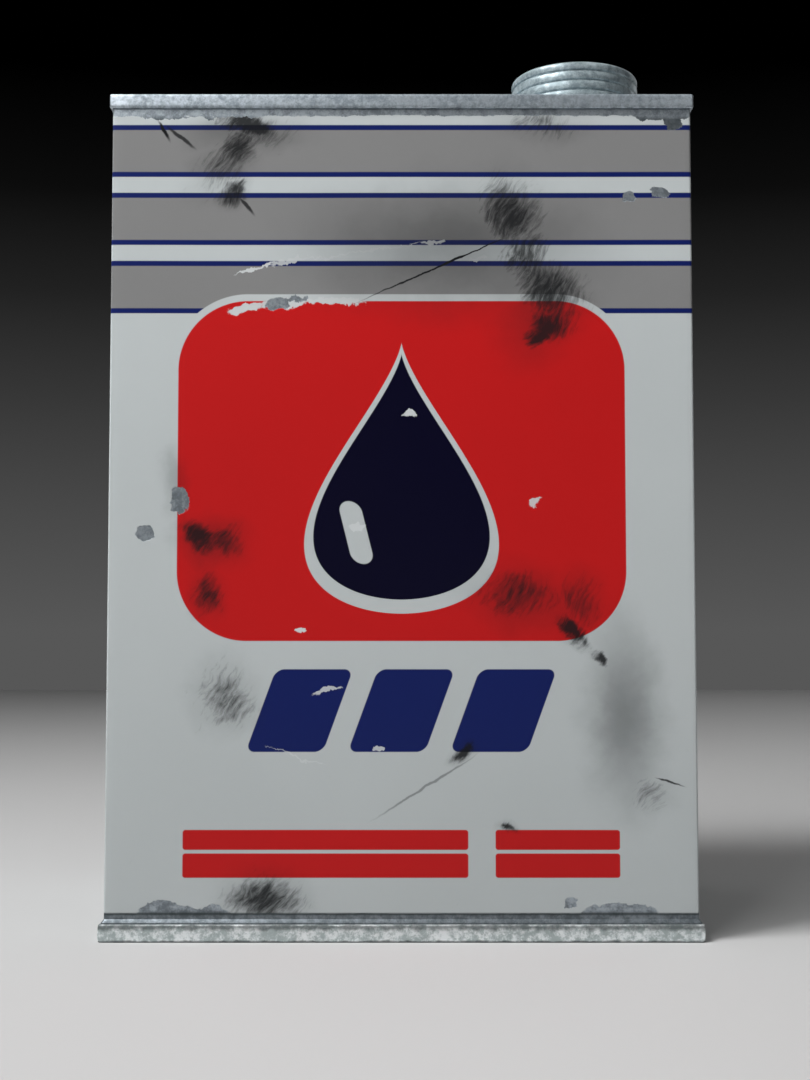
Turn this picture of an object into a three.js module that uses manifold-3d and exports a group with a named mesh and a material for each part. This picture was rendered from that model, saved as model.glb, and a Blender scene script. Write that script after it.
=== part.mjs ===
// A one-gallon oblong oil can in tinplate: a wrapped body, two double-seamed ends, a screw neck with its cap,
// and a wire handle that folds flat on the top. Millimetres, +Z up, the front face looks along -Y.
// The origin is the middle of the can's footprint, on the surface that it stands on.
import * as THREE from "three";
import { mergeVertices } from "three/addons/utils/BufferGeometryUtils.js";
import Module from "manifold-3d";

const wasm = await Module();
wasm.setup();

// ---------------------------------------------------------------- driving sizes

// Body
const bodyWidth = 168;
const bodyDepth = 106;
const canHeight = 243.2;
const cornerRadius = 0.6; // of every sheet folded round the body's upright corners
const tinplate = 0.24;
const fitGap = 0.03; // between sheets folded against each other

// Double seams
const topSeamHeight = 4.1;
const bottomSeamHeight = 5;
const seamEdgeRadius = 0.4;
const hookGap = 0.25;
const compoundThickness = 0.32;
const bottomFlare = 0.69; // the body steps out this far into the bottom seam
const shoulderBottom = 5.4;
const shoulderTop = 6.3;

// Ends
const countersink = 3.8;
const ledgeWidth = 1.6;
const riserWidth = 0.6;
const riserHeight = 0.8;

// Side seam, down the middle of the left side
const lapWidth = 7;
const solderWidth = 1.8;

// Neck and its thread
const neckEdgeGap = 0.96; // from the solder round the neck to the step in the top panel
const neckRadius = 17.9;
const neckSheet = 0.5;
const neckHeight = 23.72; // from the top panel to the lip
const neckFlangeWidth = 4.9;
const neckFlareWidth = 1.7;
const lipSwell = 0.3;
const lipHeight = 1.6;
const holeClearance = 0.1;
const threadPitch = 4.23;
const threadDepth = 1.25;
const threadRootHalf = 1;
const threadCrestHalf = 0.4;
const threadTurns = 1.75;
const threadBelowLip = 10.8; // from the lip to the start of the thread
const solderFillet = 1.2;

// Cap
const capSheet = 0.4;
const capPlay = 0.3; // between the thread's crest and the cap's bore
const capBeadHeight = 0.55;
const capHeight = 15;
const capEdgeRadius = 1.2;
const capRecess = 0.5;
const capRimWidth = 3.2;
const ringPitch = 3.05;
const firstRing = 2.8; // from the cap's top to its first groove
const ringCount = 4;
const grooveHalf = 0.45;
const curlHeight = 1.3;
const capRidgeDepth = 0.9;
const capRidgeRootHalf = 0.9;
const capRidgeTipHalf = 0.35;
const capRidgeTurns = 1.25;
const threadFlankGap = 0.6;

// Liner under the cap's top
const boardThickness = 0.9;
const foilThickness = 0.15;
const linerPlay = 0.25;
const linerGap = 0.05;

// Handle
const wireDiameter = 4;
const wireLift = 0.3; // between the folded handle and the top panel
const handleReach = 34;
const handleInset = 24; // from the body's left side to the handle's left leg
const handleCapGap = 8; // from the cap's side to the handle's right leg
const bendRadius = 6;
const pinOverhang = 2; // how far a turned-in end passes its ear
const earLength = 9;
const earEndGap = 0.8; // from the bend to the ear
const earFlange = 5.5;
const earSheet = 0.6;
const earPlay = 0.35;
const padThickness = 0.15;
const padMargin = 1;

// How finely the curves are faceted
const cornerSteps = 4;
const roundSteps = 36;
const rowsPerPitch = 9;
const runOutTurns = 0.125;
const arcSteps = 3;
const wireSides = 10;
const wireSteps = 64;

// ---------------------------------------------------------------- sizes that follow

const layer = tinplate + fitGap;
const seamWrap = 3 * layer; // the seam's sheets outside the body wall
const chuckFace = -(tinplate + layer); // inside of the end's upright wall, from the body's outside
const halfWidth = bodyWidth / 2;
const halfDepth = bodyDepth / 2;
const fieldZ = canHeight - countersink + riserHeight;
const fieldEdge = chuckFace - ledgeWidth - riserWidth;
const neckX = halfWidth + fieldEdge - neckEdgeGap - solderFillet - fitGap - neckFlangeWidth - neckRadius;
const neckBore = neckRadius - neckSheet;
const threadCrest = neckRadius + threadDepth;
const capBore = threadCrest + capPlay;
const grooveRadius = capBore + capSheet;
const capRadius = grooveRadius + capBeadHeight;
const foilBottom = neckHeight + linerGap;
const boardBottom = foilBottom + foilThickness + linerGap / 2;
const capCeiling = boardBottom + boardThickness + linerGap;
const capTop = capCeiling + capSheet + capRecess;
const capBottom = capTop - capHeight;
const linerRadius = capBore - linerPlay;
const wireRadius = wireDiameter / 2;
const handleLeft = -halfWidth + handleInset;
const handleRight = neckX - capRadius - handleCapGap;
const handleAxisZ = fieldZ + wireLift + wireRadius;
const earOffset = bendRadius + earEndGap + earLength / 2; // from a leg's centre line to its ear's middle
const pinLength = bendRadius + earEndGap + earLength + pinOverhang;

// ---------------------------------------------------------------- finishes

const finish = (color, metalness, roughness) => new THREE.MeshStandardMaterial({ color, metalness, roughness });
const litho = finish(0xb9bfc1, 0.1, 0.35);
const plate = finish(0x9fa8ae, 0.9, 0.4);
const wire = finish(0x8d9599, 0.9, 0.35);
const solder = finish(0xa9adb0, 0.8, 0.5);
const compound = finish(0x6d3a30, 0, 0.8);
const board = finish(0xb79a72, 0, 0.9);
const foil = finish(0xd0d3d6, 1, 0.3);

// ---------------------------------------------------------------- shape helpers

// A skin through rings of equally many points, from the first ring to the last. It joins the last ring to
// the first, or closes both ends with flat faces.
function skin(rings, joinsUp) {
  const count = rings[0].length;
  const index = [];
  const spans = joinsUp ? rings.length : rings.length - 1;
  for (let i = 0; i < spans; i++) {
    const here = i * count;
    const there = ((i + 1) % rings.length) * count;
    for (let j = 0; j < count; j++) {
      const next = (j + 1) % count;
      index.push(here + j, here + next, there + next);
      index.push(here + j, there + next, there + j);
    }
  }
  if (!joinsUp) {
    const last = (rings.length - 1) * count;
    for (let j = 1; j < count - 1; j++) {
      index.push(0, j + 1, j);
      index.push(last, last + j, last + j + 1);
    }
  }
  const geometry = new THREE.BufferGeometry();
  geometry.setAttribute("position", new THREE.Float32BufferAttribute(rings.flat(2), 3));
  geometry.setIndex(index);
  geometry.computeVertexNormals();
  return geometry;
}

// Points of a quarter turn in a profile, from one angle to the other in degrees.
function quarter(centreX, centreZ, radius, from, to) {
  const points = [];
  for (let i = 0; i <= arcSteps; i++) {
    const angle = THREE.MathUtils.degToRad(from + ((to - from) * i) / arcSteps);
    points.push([centreX + radius * Math.cos(angle), centreZ + radius * Math.sin(angle)]);
  }
  return points;
}

// The body's outline in plan, moved outwards by an offset, at one height.
function bodyRing(offset, z) {
  const x = halfWidth + offset - cornerRadius;
  const y = halfDepth + offset - cornerRadius;
  const corners = [[x, y], [-x, y], [-x, -y], [x, -y]];
  const points = [];
  corners.forEach(([cornerX, cornerY], turn) => {
    for (let i = 0; i <= cornerSteps; i++) {
      const angle = (Math.PI / 2) * (turn + i / cornerSteps);
      points.push([cornerX + cornerRadius * Math.cos(angle), cornerY + cornerRadius * Math.sin(angle), z]);
    }
  });
  return points;
}

// A profile of [offset, z] points carried round the body's outline.
function roundTheBody(profile, joinsUp) {
  return skin(profile.map(([offset, z]) => bodyRing(offset, z)), joinsUp);
}

// A profile of [radius, z] points turned about the Z axis.
function turned(profile) {
  const geometry = new THREE.LatheGeometry(profile.map(([r, z]) => new THREE.Vector2(r, z)), roundSteps);
  return geometry.rotateX(Math.PI / 2);
}

function disc(radius, bottom, thickness) {
  const geometry = new THREE.CylinderGeometry(radius, radius, thickness, roundSteps);
  return geometry.rotateX(Math.PI / 2).translate(0, 0, bottom + thickness / 2);
}

// A box from its lowest and highest corners.
function block(low, high) {
  const size = high.map((value, axis) => value - low[axis]);
  const middle = high.map((value, axis) => (value + low[axis]) / 2);
  return new THREE.BoxGeometry(...size).translate(...middle);
}

function asSolid(geometry) {
  const bare = new THREE.BufferGeometry();
  bare.setAttribute("position", geometry.getAttribute("position"));
  bare.setIndex(geometry.index);
  const merged = mergeVertices(bare, 1e-4);
  return new wasm.Manifold(
    new wasm.Mesh({
      numProp: 3,
      vertProperties: merged.getAttribute("position").array,
      triVerts: new Uint32Array(merged.index.array),
    }),
  );
}

function asGeometry(solid) {
  const { vertProperties, triVerts } = solid.getMesh();
  const geometry = new THREE.BufferGeometry();
  geometry.setAttribute("position", new THREE.BufferAttribute(vertProperties, 3));
  geometry.setIndex(new THREE.BufferAttribute(triVerts, 1));
  geometry.computeVertexNormals();
  return geometry;
}

const joined = (first, second) => asGeometry(asSolid(first).add(asSolid(second)));
const cut = (whole, tool) => asGeometry(asSolid(whole).subtract(asSolid(tool)));

// One ring of a turned piece. The radius is a number, or a function of the turn from 0 to 1.
function circle(radius, z) {
  const points = [];
  for (let i = 0; i < roundSteps; i++) {
    const turn = i / roundSteps;
    const r = typeof radius === "function" ? radius(turn) : radius;
    points.push([r * Math.cos(2 * Math.PI * turn), r * Math.sin(2 * Math.PI * turn), z]);
  }
  return points;
}

// The rings of a wall with a right-hand thread on it, from the lowest to the highest. wall and tip are radii:
// a tip inside the wall makes a ridge that points inwards. Both ends of the ridge sink into the wall.
function threadRings({ wall, tip, rootHalf, tipHalf, startZ, turns }) {
  const ridge = (turn, z) => {
    let height = 0;
    for (let lap = 0; lap < turns; lap++) {
      const along = lap + turn;
      const flank = (rootHalf - Math.abs(z - startZ - threadPitch * along)) / (rootHalf - tipHalf);
      const rise = Math.min(along / runOutTurns, (turns - along) / runOutTurns, 1);
      height = Math.max(height, Math.min(flank, 1) * Math.max(rise, 0));
    }
    return height;
  };
  const rows = Math.ceil(((turns * threadPitch + 2 * rootHalf) / threadPitch) * rowsPerPitch);
  const rings = [];
  for (let row = 0; row <= rows; row++) {
    const z = startZ - rootHalf + (row * threadPitch) / rowsPerPitch;
    rings.push(circle((turn) => wall + (tip - wall) * ridge(turn, z), z));
  }
  return rings;
}

function piece(name, geometry, material) {
  const mesh = new THREE.Mesh(geometry, material);
  mesh.name = name;
  return mesh;
}

// ---------------------------------------------------------------- body and ends

// Both seams are drawn in depths from the seam's outer edge. inward is +1 where that is downwards.
function bodyGeometry() {
  const turnedEdge = tinplate + compoundThickness;
  const hookInside = layer + fitGap;
  const hookOutside = 2 * layer;
  const topHook = canHeight - topSeamHeight + tinplate + hookGap;
  const bottomHook = bottomSeamHeight - tinplate - hookGap;
  const profile = [
    [bottomFlare + hookOutside, turnedEdge],
    [bottomFlare + hookOutside, bottomHook],
    [bottomFlare + hookInside, bottomHook],
    [bottomFlare + hookInside, turnedEdge + tinplate],
    [bottomFlare, turnedEdge + tinplate],
    [bottomFlare, shoulderBottom],
    [0, shoulderTop],
    [0, canHeight - turnedEdge - tinplate],
    [hookInside, canHeight - turnedEdge - tinplate],
    [hookInside, topHook],
    [hookOutside, topHook],
    [hookOutside, canHeight - turnedEdge],
    [-tinplate, canHeight - turnedEdge],
    [-tinplate, shoulderTop - tinplate / 2],
    [bottomFlare - tinplate, shoulderBottom - tinplate / 2],
    [bottomFlare - tinplate, turnedEdge],
  ];
  const lap = block(
    [-halfWidth - tinplate, -lapWidth / 2, shoulderTop],
    [-halfWidth + tinplate / 2, lapWidth / 2, canHeight - topSeamHeight - hookGap],
  );
  return joined(roundTheBody(profile, true), lap);
}

function endGeometry(edgeZ, inward, flare, seamHeight) {
  const r = seamEdgeRadius;
  const wrap = seamWrap;
  const hookTop = tinplate + compoundThickness + tinplate + hookGap;
  const field = countersink - riserHeight;
  const underside = [
    [fieldEdge, field + tinplate],
    [chuckFace - ledgeWidth, countersink + tinplate],
    [-layer, countersink + tinplate],
    [-layer, tinplate],
    [wrap - tinplate, tinplate],
    [wrap - tinplate, seamHeight - tinplate],
    [layer, seamHeight - tinplate],
    [layer, hookTop],
    [fitGap, hookTop],
    [fitGap, seamHeight],
  ];
  const outside = [
    ...quarter(wrap - r, seamHeight - r, r, 90, 0),
    ...quarter(wrap - r, r, r, 0, -90),
    ...quarter(chuckFace + r, r, r, 270, 180),
    ...quarter(chuckFace - r, countersink - r, r, 0, 90),
    [chuckFace - ledgeWidth, countersink],
    [fieldEdge, field],
  ];
  const profile = [...underside, ...outside].map(([offset, depth]) => [flare + offset, edgeZ - inward * depth]);
  if (inward < 0) profile.reverse();
  return roundTheBody(profile, false);
}

function topEndGeometry() {
  const hole = disc(neckRadius + holeClearance, fieldZ - countersink, 2 * countersink).translate(neckX, 0, 0);
  return cut(endGeometry(canHeight, 1, 0, topSeamHeight), hole);
}

function seamCompoundGeometry(edgeZ, inward, flare) {
  const shallow = edgeZ - inward * (tinplate + fitGap);
  const deep = edgeZ - inward * (tinplate + compoundThickness - fitGap);
  const low = Math.min(shallow, deep);
  const high = Math.max(shallow, deep);
  const inside = flare - tinplate;
  const outside = flare + 2 * layer;
  return roundTheBody([[inside, low], [outside, low], [outside, high], [inside, high]], true);
}

// A fillet along the lap's edge, from the bottom shoulder to the top seam.
function sideSolderGeometry() {
  const fillet = new THREE.Shape();
  fillet.moveTo(0, 0);
  fillet.lineTo(0, tinplate - fitGap);
  fillet.lineTo(-solderWidth, 0);
  fillet.closePath();
  const bottom = shoulderTop + fitGap;
  const depth = canHeight - topSeamHeight - hookGap - bottom;
  const geometry = new THREE.ExtrudeGeometry(fillet, { depth, bevelEnabled: false });
  geometry.rotateZ(Math.PI / 2);
  return geometry.translate(-halfWidth - fitGap, -lapWidth / 2 - fitGap, bottom);
}

// ---------------------------------------------------------------- neck, cap and liner, on the top panel

function neckGeometry() {
  const flangeTop = fitGap + neckSheet;
  const flareTop = -tinplate - fitGap;
  const lipBottom = neckHeight - lipHeight;
  const lipOutside = neckRadius + lipSwell;
  const foot = [
    [neckBore, flareTop - neckSheet],
    [neckRadius + neckFlareWidth, flareTop - neckSheet],
    [neckRadius + neckFlareWidth, flareTop],
    [neckRadius, flareTop],
    [neckRadius, fitGap],
    [neckRadius + neckFlangeWidth, fitGap],
    [neckRadius + neckFlangeWidth, flangeTop],
    [neckRadius + neckSheet, flangeTop],
    [neckRadius, flangeTop + neckSheet],
  ];
  const thread = threadRings({
    wall: neckRadius,
    tip: threadCrest,
    rootHalf: threadRootHalf,
    tipHalf: threadCrestHalf,
    startZ: neckHeight - threadBelowLip,
    turns: threadTurns,
  });
  const lip = [
    [neckRadius, lipBottom],
    [lipOutside, lipBottom + lipSwell],
    ...quarter(lipOutside - neckSheet, neckHeight - neckSheet, neckSheet, 0, 90),
    [neckBore + neckSheet / 2, neckHeight],
    [neckBore, neckHeight - neckSheet / 2],
  ];
  const rings = (profile) => profile.map(([radius, z]) => circle(radius, z));
  return skin([...rings(foot), ...thread, ...rings(lip)], true);
}

function neckSolderGeometry() {
  const inside = neckRadius + neckFlangeWidth + fitGap;
  return turned([
    [inside, fitGap],
    [inside + solderFillet, fitGap],
    [inside, fitGap + neckSheet],
    [inside, fitGap],
  ]);
}

function capGeometry() {
  const flankMiddle = (threadCrestHalf + threadRootHalf + capRidgeTipHalf + capRidgeRootHalf) / 2;
  const ridge = threadRings({
    wall: capBore,
    tip: capBore - capRidgeDepth,
    rootHalf: capRidgeRootHalf,
    tipHalf: capRidgeTipHalf,
    startZ: neckHeight - threadBelowLip + threadPitch - flankMiddle - threadFlankGap,
    turns: capRidgeTurns,
  });
  const outside = [
    [capBore, capBottom],
    ...quarter(capRadius - curlHeight / 2, capBottom + curlHeight / 2, curlHeight / 2, -90, 0),
    [grooveRadius, capBottom + curlHeight],
  ];
  for (let ring = ringCount - 1; ring >= 0; ring--) {
    const groove = capTop - firstRing - ring * ringPitch;
    if (ring < ringCount - 1) outside.push([capRadius, groove - grooveHalf]);
    outside.push([grooveRadius, groove], [capRadius, groove + grooveHalf]);
  }
  outside.push(
    ...quarter(capRadius - capEdgeRadius, capTop - capEdgeRadius, capEdgeRadius, 0, 90),
    [capRadius - capRimWidth, capTop],
    [capRadius - capRimWidth - capRecess, capTop - capRecess],
  );
  const rings = outside.map(([radius, z]) => circle(radius, z));
  return skin([circle(capBore, capCeiling), ...ridge.reverse(), ...rings], false);
}

// ---------------------------------------------------------------- handle

// The folded handle in its own plane: X along the can, Y towards the back, from one turned-in end to the other.
function handlePath() {
  const left = handleLeft;
  const right = handleRight;
  const stops = [
    [left + pinLength, 0],
    [left, 0],
    [left, handleReach],
    [right, handleReach],
    [right, 0],
    [right - pinLength, 0],
  ].map(([x, y]) => new THREE.Vector3(x, y, 0));
  const path = new THREE.CurvePath();
  let from = stops[0];
  for (let i = 1; i < stops.length - 1; i++) {
    const back = stops[i - 1].clone().sub(stops[i]).normalize();
    const ahead = stops[i + 1].clone().sub(stops[i]).normalize();
    const into = stops[i].clone().addScaledVector(back, bendRadius);
    const out = stops[i].clone().addScaledVector(ahead, bendRadius);
    path.add(new THREE.LineCurve3(from, into));
    path.add(new THREE.QuadraticBezierCurve3(into, stops[i], out));
    from = out;
  }
  path.add(new THREE.LineCurve3(from, stops[stops.length - 1]));
  return path;
}

function handleGeometry() {
  const section = new THREE.Shape();
  for (let i = 0; i < wireSides; i++) {
    const angle = (2 * Math.PI * (i + 0.5)) / wireSides;
    const x = wireRadius * Math.cos(angle);
    const y = wireRadius * Math.sin(angle);
    if (i === 0) section.moveTo(x, y);
    else section.lineTo(x, y);
  }
  section.closePath();
  return new THREE.ExtrudeGeometry(section, { steps: wireSteps, extrudePath: handlePath(), bevelEnabled: false });
}

// A saddle of strip metal over the wire, flat on the panel on both sides of it.
function earGeometry() {
  const inside = wireRadius + earPlay;
  const outside = inside + earSheet;
  const foot = 2 * fitGap + padThickness;
  const axis = wireLift + wireRadius;
  const end = outside + earFlange;
  const saddle = new THREE.Shape();
  saddle.moveTo(-end, foot);
  saddle.lineTo(-inside, foot);
  saddle.lineTo(-inside, axis);
  saddle.absarc(0, axis, inside, Math.PI, 0, true);
  saddle.lineTo(inside, foot);
  saddle.lineTo(end, foot);
  saddle.lineTo(end, foot + earSheet);
  saddle.lineTo(outside, foot + earSheet);
  saddle.lineTo(outside, axis);
  saddle.absarc(0, axis, outside, 0, Math.PI, false);
  saddle.lineTo(-outside, foot + earSheet);
  saddle.lineTo(-end, foot + earSheet);
  saddle.closePath();
  const geometry = new THREE.ExtrudeGeometry(saddle, { depth: earLength, bevelEnabled: false, curveSegments: 8 });
  geometry.translate(0, 0, -earLength / 2);
  return geometry.rotateX(Math.PI / 2).rotateZ(Math.PI / 2);
}

function earSolderGeometry() {
  const halfX = earLength / 2 + padMargin;
  const halfY = wireRadius + earPlay + earSheet + earFlange + padMargin;
  return block([-halfX, -halfY, fitGap], [halfX, halfY, fitGap + padThickness]);
}

// ---------------------------------------------------------------- assembly

const can = new THREE.Group();
can.add(piece("body_shell", bodyGeometry(), litho));
can.add(piece("side_seam_solder", sideSolderGeometry(), solder));
can.add(piece("top_end", topEndGeometry(), plate));
can.add(piece("bottom_end", endGeometry(0, -1, bottomFlare, bottomSeamHeight), plate));
can.add(piece("top_seam_compound", seamCompoundGeometry(canHeight, 1, 0), compound));
can.add(piece("bottom_seam_compound", seamCompoundGeometry(0, -1, bottomFlare), compound));

const closure = new THREE.Group();
closure.position.set(neckX, 0, fieldZ);
closure.add(piece("neck", neckGeometry(), plate));
closure.add(piece("neck_solder", neckSolderGeometry(), solder));
closure.add(piece("cap_shell", capGeometry(), plate));
closure.add(piece("cap_liner_board", disc(linerRadius, boardBottom, boardThickness), board));
closure.add(piece("cap_liner_foil", disc(linerRadius, foilBottom, foilThickness), foil));
can.add(closure);

const handle = piece("handle_bail", handleGeometry(), wire);
handle.position.set(0, 0, handleAxisZ);
can.add(handle);

const ears = [
  ["left", handleLeft + earOffset],
  ["right", handleRight - earOffset],
];
for (const [side, x] of ears) {
  const ear = new THREE.Group();
  ear.position.set(x, 0, fieldZ);
  ear.add(piece(`handle_ear_${side}`, earGeometry(), plate));
  ear.add(piece(`ear_solder_${side}`, earSolderGeometry(), solder));
  can.add(ear);
}

export default can;
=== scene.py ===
"""The looks of a one-gallon oil can in printed tinplate, built around its fixed frame."""

import math
import random

import bmesh
import bpy
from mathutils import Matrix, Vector, noise


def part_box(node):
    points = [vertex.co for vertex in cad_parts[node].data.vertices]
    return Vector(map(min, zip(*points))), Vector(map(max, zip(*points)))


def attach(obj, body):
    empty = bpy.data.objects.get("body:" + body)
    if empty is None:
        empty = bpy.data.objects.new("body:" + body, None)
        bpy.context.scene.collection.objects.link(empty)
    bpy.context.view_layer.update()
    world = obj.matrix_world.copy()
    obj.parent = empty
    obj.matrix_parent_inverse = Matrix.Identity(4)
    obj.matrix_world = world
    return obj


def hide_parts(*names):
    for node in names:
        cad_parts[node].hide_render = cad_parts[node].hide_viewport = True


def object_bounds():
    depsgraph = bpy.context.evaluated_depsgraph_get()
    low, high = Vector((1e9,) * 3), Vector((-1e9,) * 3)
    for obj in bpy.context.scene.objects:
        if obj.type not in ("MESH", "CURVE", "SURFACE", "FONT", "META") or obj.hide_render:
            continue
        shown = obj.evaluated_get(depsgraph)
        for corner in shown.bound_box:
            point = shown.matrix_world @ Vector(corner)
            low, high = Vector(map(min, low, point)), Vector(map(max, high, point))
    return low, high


bl_info = {
    "name": "Oil Can",
    "version": (1, 0, 0),
    "blender": (4, 5, 0),
    "location": "3D View > Sidebar > Oil Can",
    "description": "Builds a printed tinplate oil can with double seams, a screw cap and a folding handle",
    "category": "Add Mesh",
}

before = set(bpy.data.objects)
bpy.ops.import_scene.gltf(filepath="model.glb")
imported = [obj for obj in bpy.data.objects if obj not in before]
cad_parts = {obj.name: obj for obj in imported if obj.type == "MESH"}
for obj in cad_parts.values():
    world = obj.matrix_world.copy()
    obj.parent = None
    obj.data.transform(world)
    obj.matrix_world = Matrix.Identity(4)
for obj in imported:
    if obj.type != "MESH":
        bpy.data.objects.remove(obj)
CAD_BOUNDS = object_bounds()

MM = 0.001

# Places on the can, from the frame.
TOP_LOW, TOP_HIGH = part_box("top_end")
BASE_LOW, BASE_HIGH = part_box("bottom_end")
CAP_LOW, CAP_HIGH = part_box("cap_shell")
NECK_LOW, NECK_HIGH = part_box("neck")
PAD_LOW, PAD_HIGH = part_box("ear_solder_left")
BAIL_LOW, BAIL_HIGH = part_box("handle_bail")
SIDE_SOLDER_LOW, SIDE_SOLDER_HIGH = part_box("side_seam_solder")

FIT_GAP = 0.03 * MM
RIM_Z = TOP_HIGH.z
PANEL_Z = PAD_LOW.z - FIT_GAP
AXIS = Vector(((CAP_LOW.x + CAP_HIGH.x) / 2, (CAP_LOW.y + CAP_HIGH.y) / 2, 0))


# ---------------------------------------------------------------- settings


def srgb(code):
    """The linear colour of an sRGB hex code such as '#b81f21'."""
    values = [int(code[i : i + 2], 16) / 255 for i in (1, 3, 5)]
    return tuple(v / 12.92 if v <= 0.04045 else ((v + 0.055) / 1.055) ** 2.4 for v in values) + (1.0,)


def length(label, about, value):
    return bpy.props.FloatProperty(name=label, description=about, default=value, min=0, unit="LENGTH", precision=5)


def colour(label, about, code):
    return bpy.props.FloatVectorProperty(
        name=label, description=about, default=srgb(code), size=4, min=0, max=1, subtype="COLOR"
    )


class OilCanSizes(bpy.types.PropertyGroup):
    """Sizes of the can's sheet, seams, closure and handle"""

    sheet: length("Tinplate", "Thickness of the body and end sheets", 0.24 * MM)
    corner_radius: length("Corner radius", "Radius of every sheet folded round the upright corners", 0.6 * MM)
    top_seam_height: length("Top seam", "Height of the top seam", 4.1 * MM)
    bottom_seam_height: length("Bottom seam", "Height of the bottom seam", 5 * MM)
    top_proud: length("Top seam stands out", "How far the top seam stands out from the body", 0.81 * MM)
    bottom_proud: length("Bottom seam stands out", "How far the bottom seam stands out from the body", 1.5 * MM)
    countersink: length("Countersink", "Depth of the end panels' edges below the rims", 3.8 * MM)
    panel_step: length("Panel step", "How far the middle of an end panel stands above its edge", 0.8 * MM)
    lap_width: length("Side lap", "Width of the body's lap on its left side", 7 * MM)
    wire: length("Handle wire", "Diameter of the handle's wire", 4 * MM)
    bend: length("Handle bend", "Bend radius of the handle's corners", 6 * MM)
    pitch: length("Thread pitch", "Pitch of the neck's thread", 4.23 * MM)
    ring_pitch: length("Ring pitch", "Distance between the cap's ring grooves", 3.05 * MM)
    dent: length("Dents", "Depth of the soft dents in the body", 0.25 * MM)


class OilCanPrint(bpy.types.PropertyGroup):
    """Colours and places of the print on the body"""

    pale: colour("Ground", "Pale grey ground of the print", "#c2c8c9")
    band: colour("Bands", "Grey of the three bands", "#868686")
    stripe: colour("Stripes", "Blue of the thin stripes", "#13205f")
    red: colour("Red", "Red of the panel and the rules", "#c41b1c")
    navy: colour("Navy", "Navy of the oil drop", "#04021f")
    first_stripe: length("First stripe", "Height of the highest stripe's middle", 233.5 * MM)
    stripe_pitch: length("Stripe pitch", "Height from one pair of stripes to the next", 20 * MM)
    band_height: length("Band height", "Height between the two stripes of a band", 13.85 * MM)
    stripe_width: length("Stripe width", "Width of a thin stripe", 1.5 * MM)
    panel_width: length("Panel width", "Width of the red panel", 128.5 * MM)
    panel_height: length("Panel height", "Height of the red panel", 98 * MM)
    panel_middle: length("Panel middle", "Height of the red panel's middle", 133.5 * MM)
    panel_corner: length("Panel corner", "Corner radius of the red panel", 20 * MM)


# ---------------------------------------------------------------- node and mesh helpers


def put(tree, kind, inputs=None, out=0, **settings):
    """Adds a node, sets it, links or sets its inputs, and returns one of its outputs."""
    made = tree.nodes.new(kind)
    for name, value in settings.items():
        setattr(made, name, value)
    for key, value in (inputs or {}).items():
        if isinstance(value, bpy.types.NodeSocket):
            tree.links.new(value, made.inputs[key])
        else:
            made.inputs[key].default_value = value
    return made.outputs[out] if len(made.outputs) else made


def new_material(name):
    material = bpy.data.materials.new(name)
    material.use_nodes = True
    material.node_tree.nodes.clear()
    return material, material.node_tree


def finish_material(tree, colour_socket, metallic, roughness, normal, **constants):
    """Ends a material in one Principled shader. Constants are set on the shader's own sockets."""
    links = {"Base Color": colour_socket, "Metallic": metallic, "Roughness": roughness, "Normal": normal}
    links = {key: value for key, value in links.items() if value is not None}
    links.update({key.replace("_", " "): value for key, value in constants.items()})
    shader = put(tree, "ShaderNodeBsdfPrincipled", links)
    put(tree, "ShaderNodeOutputMaterial", {"Surface": shader})


def millimetres(tree):
    """Object coordinates in millimetres."""
    place = put(tree, "ShaderNodeTexCoord", out="Object")
    return put(tree, "ShaderNodeVectorMath", {0: place, "Scale": 1 / MM}, operation="SCALE")


def arc(centre_x, centre_z, radius, start, end, steps=6):
    """Points of an arc in a profile, between two angles in degrees."""
    angles = [math.radians(start + (end - start) * i / steps) for i in range(steps + 1)]
    return [(centre_x + radius * math.cos(a), centre_z + radius * math.sin(a)) for a in angles]


def rounded_ring(half_x, half_y, radius, z, corner_steps=10, straights=None):
    """Points round a rectangle with round corners, anticlockwise from the middle of its right side.
    straights gives how many steps the long and the short sides are cut into."""
    along, across = straights or (1, 1)
    radius = min(max(radius, 0.3 * MM), half_x, half_y)
    x, y = half_x - radius, half_y - radius
    corners = [(x, y), (-x, y), (-x, -y), (x, -y)]
    points = []
    for turn, (corner_x, corner_y) in enumerate(corners):
        for i in range(corner_steps + 1):
            angle = math.pi / 2 * (turn + i / corner_steps)
            points.append(Vector((corner_x + radius * math.cos(angle), corner_y + radius * math.sin(angle), z)))
        ahead = corners[(turn + 1) % 4]
        start = points[-1]
        angle = math.pi / 2 * (turn + 1)
        end = Vector((ahead[0] + radius * math.cos(angle), ahead[1] + radius * math.sin(angle), z))
        steps = along if turn % 2 == 0 else across
        points += [start.lerp(end, i / steps) for i in range(1, steps)]
    return points


def circle_ring(radius, z, steps=128, centre=AXIS):
    angles = [2 * math.pi * i / steps for i in range(steps)]
    return [Vector((centre.x + radius * math.cos(a), centre.y + radius * math.sin(a), z)) for a in angles]


def skin(name, rings, joins_up=False, caps=(True, True)):
    """A mesh through rings of equally many points. It joins up, or its first and last rings are filled."""
    mesh = bpy.data.meshes.new(name)
    count = len(rings[0])
    points = [p for ring in rings for p in ring]
    faces = []
    spans = len(rings) if joins_up else len(rings) - 1
    for i in range(spans):
        here, there = i * count, (i + 1) % len(rings) * count
        for j in range(count):
            step = (j + 1) % count
            faces.append((here + j, here + step, there + step, there + j))
    if not joins_up and caps[0]:
        faces.append(tuple(reversed(range(count))))
    if not joins_up and caps[1]:
        faces.append(tuple(range(len(points) - count, len(points))))
    mesh.from_pydata(points, [], faces)
    return mesh


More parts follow.
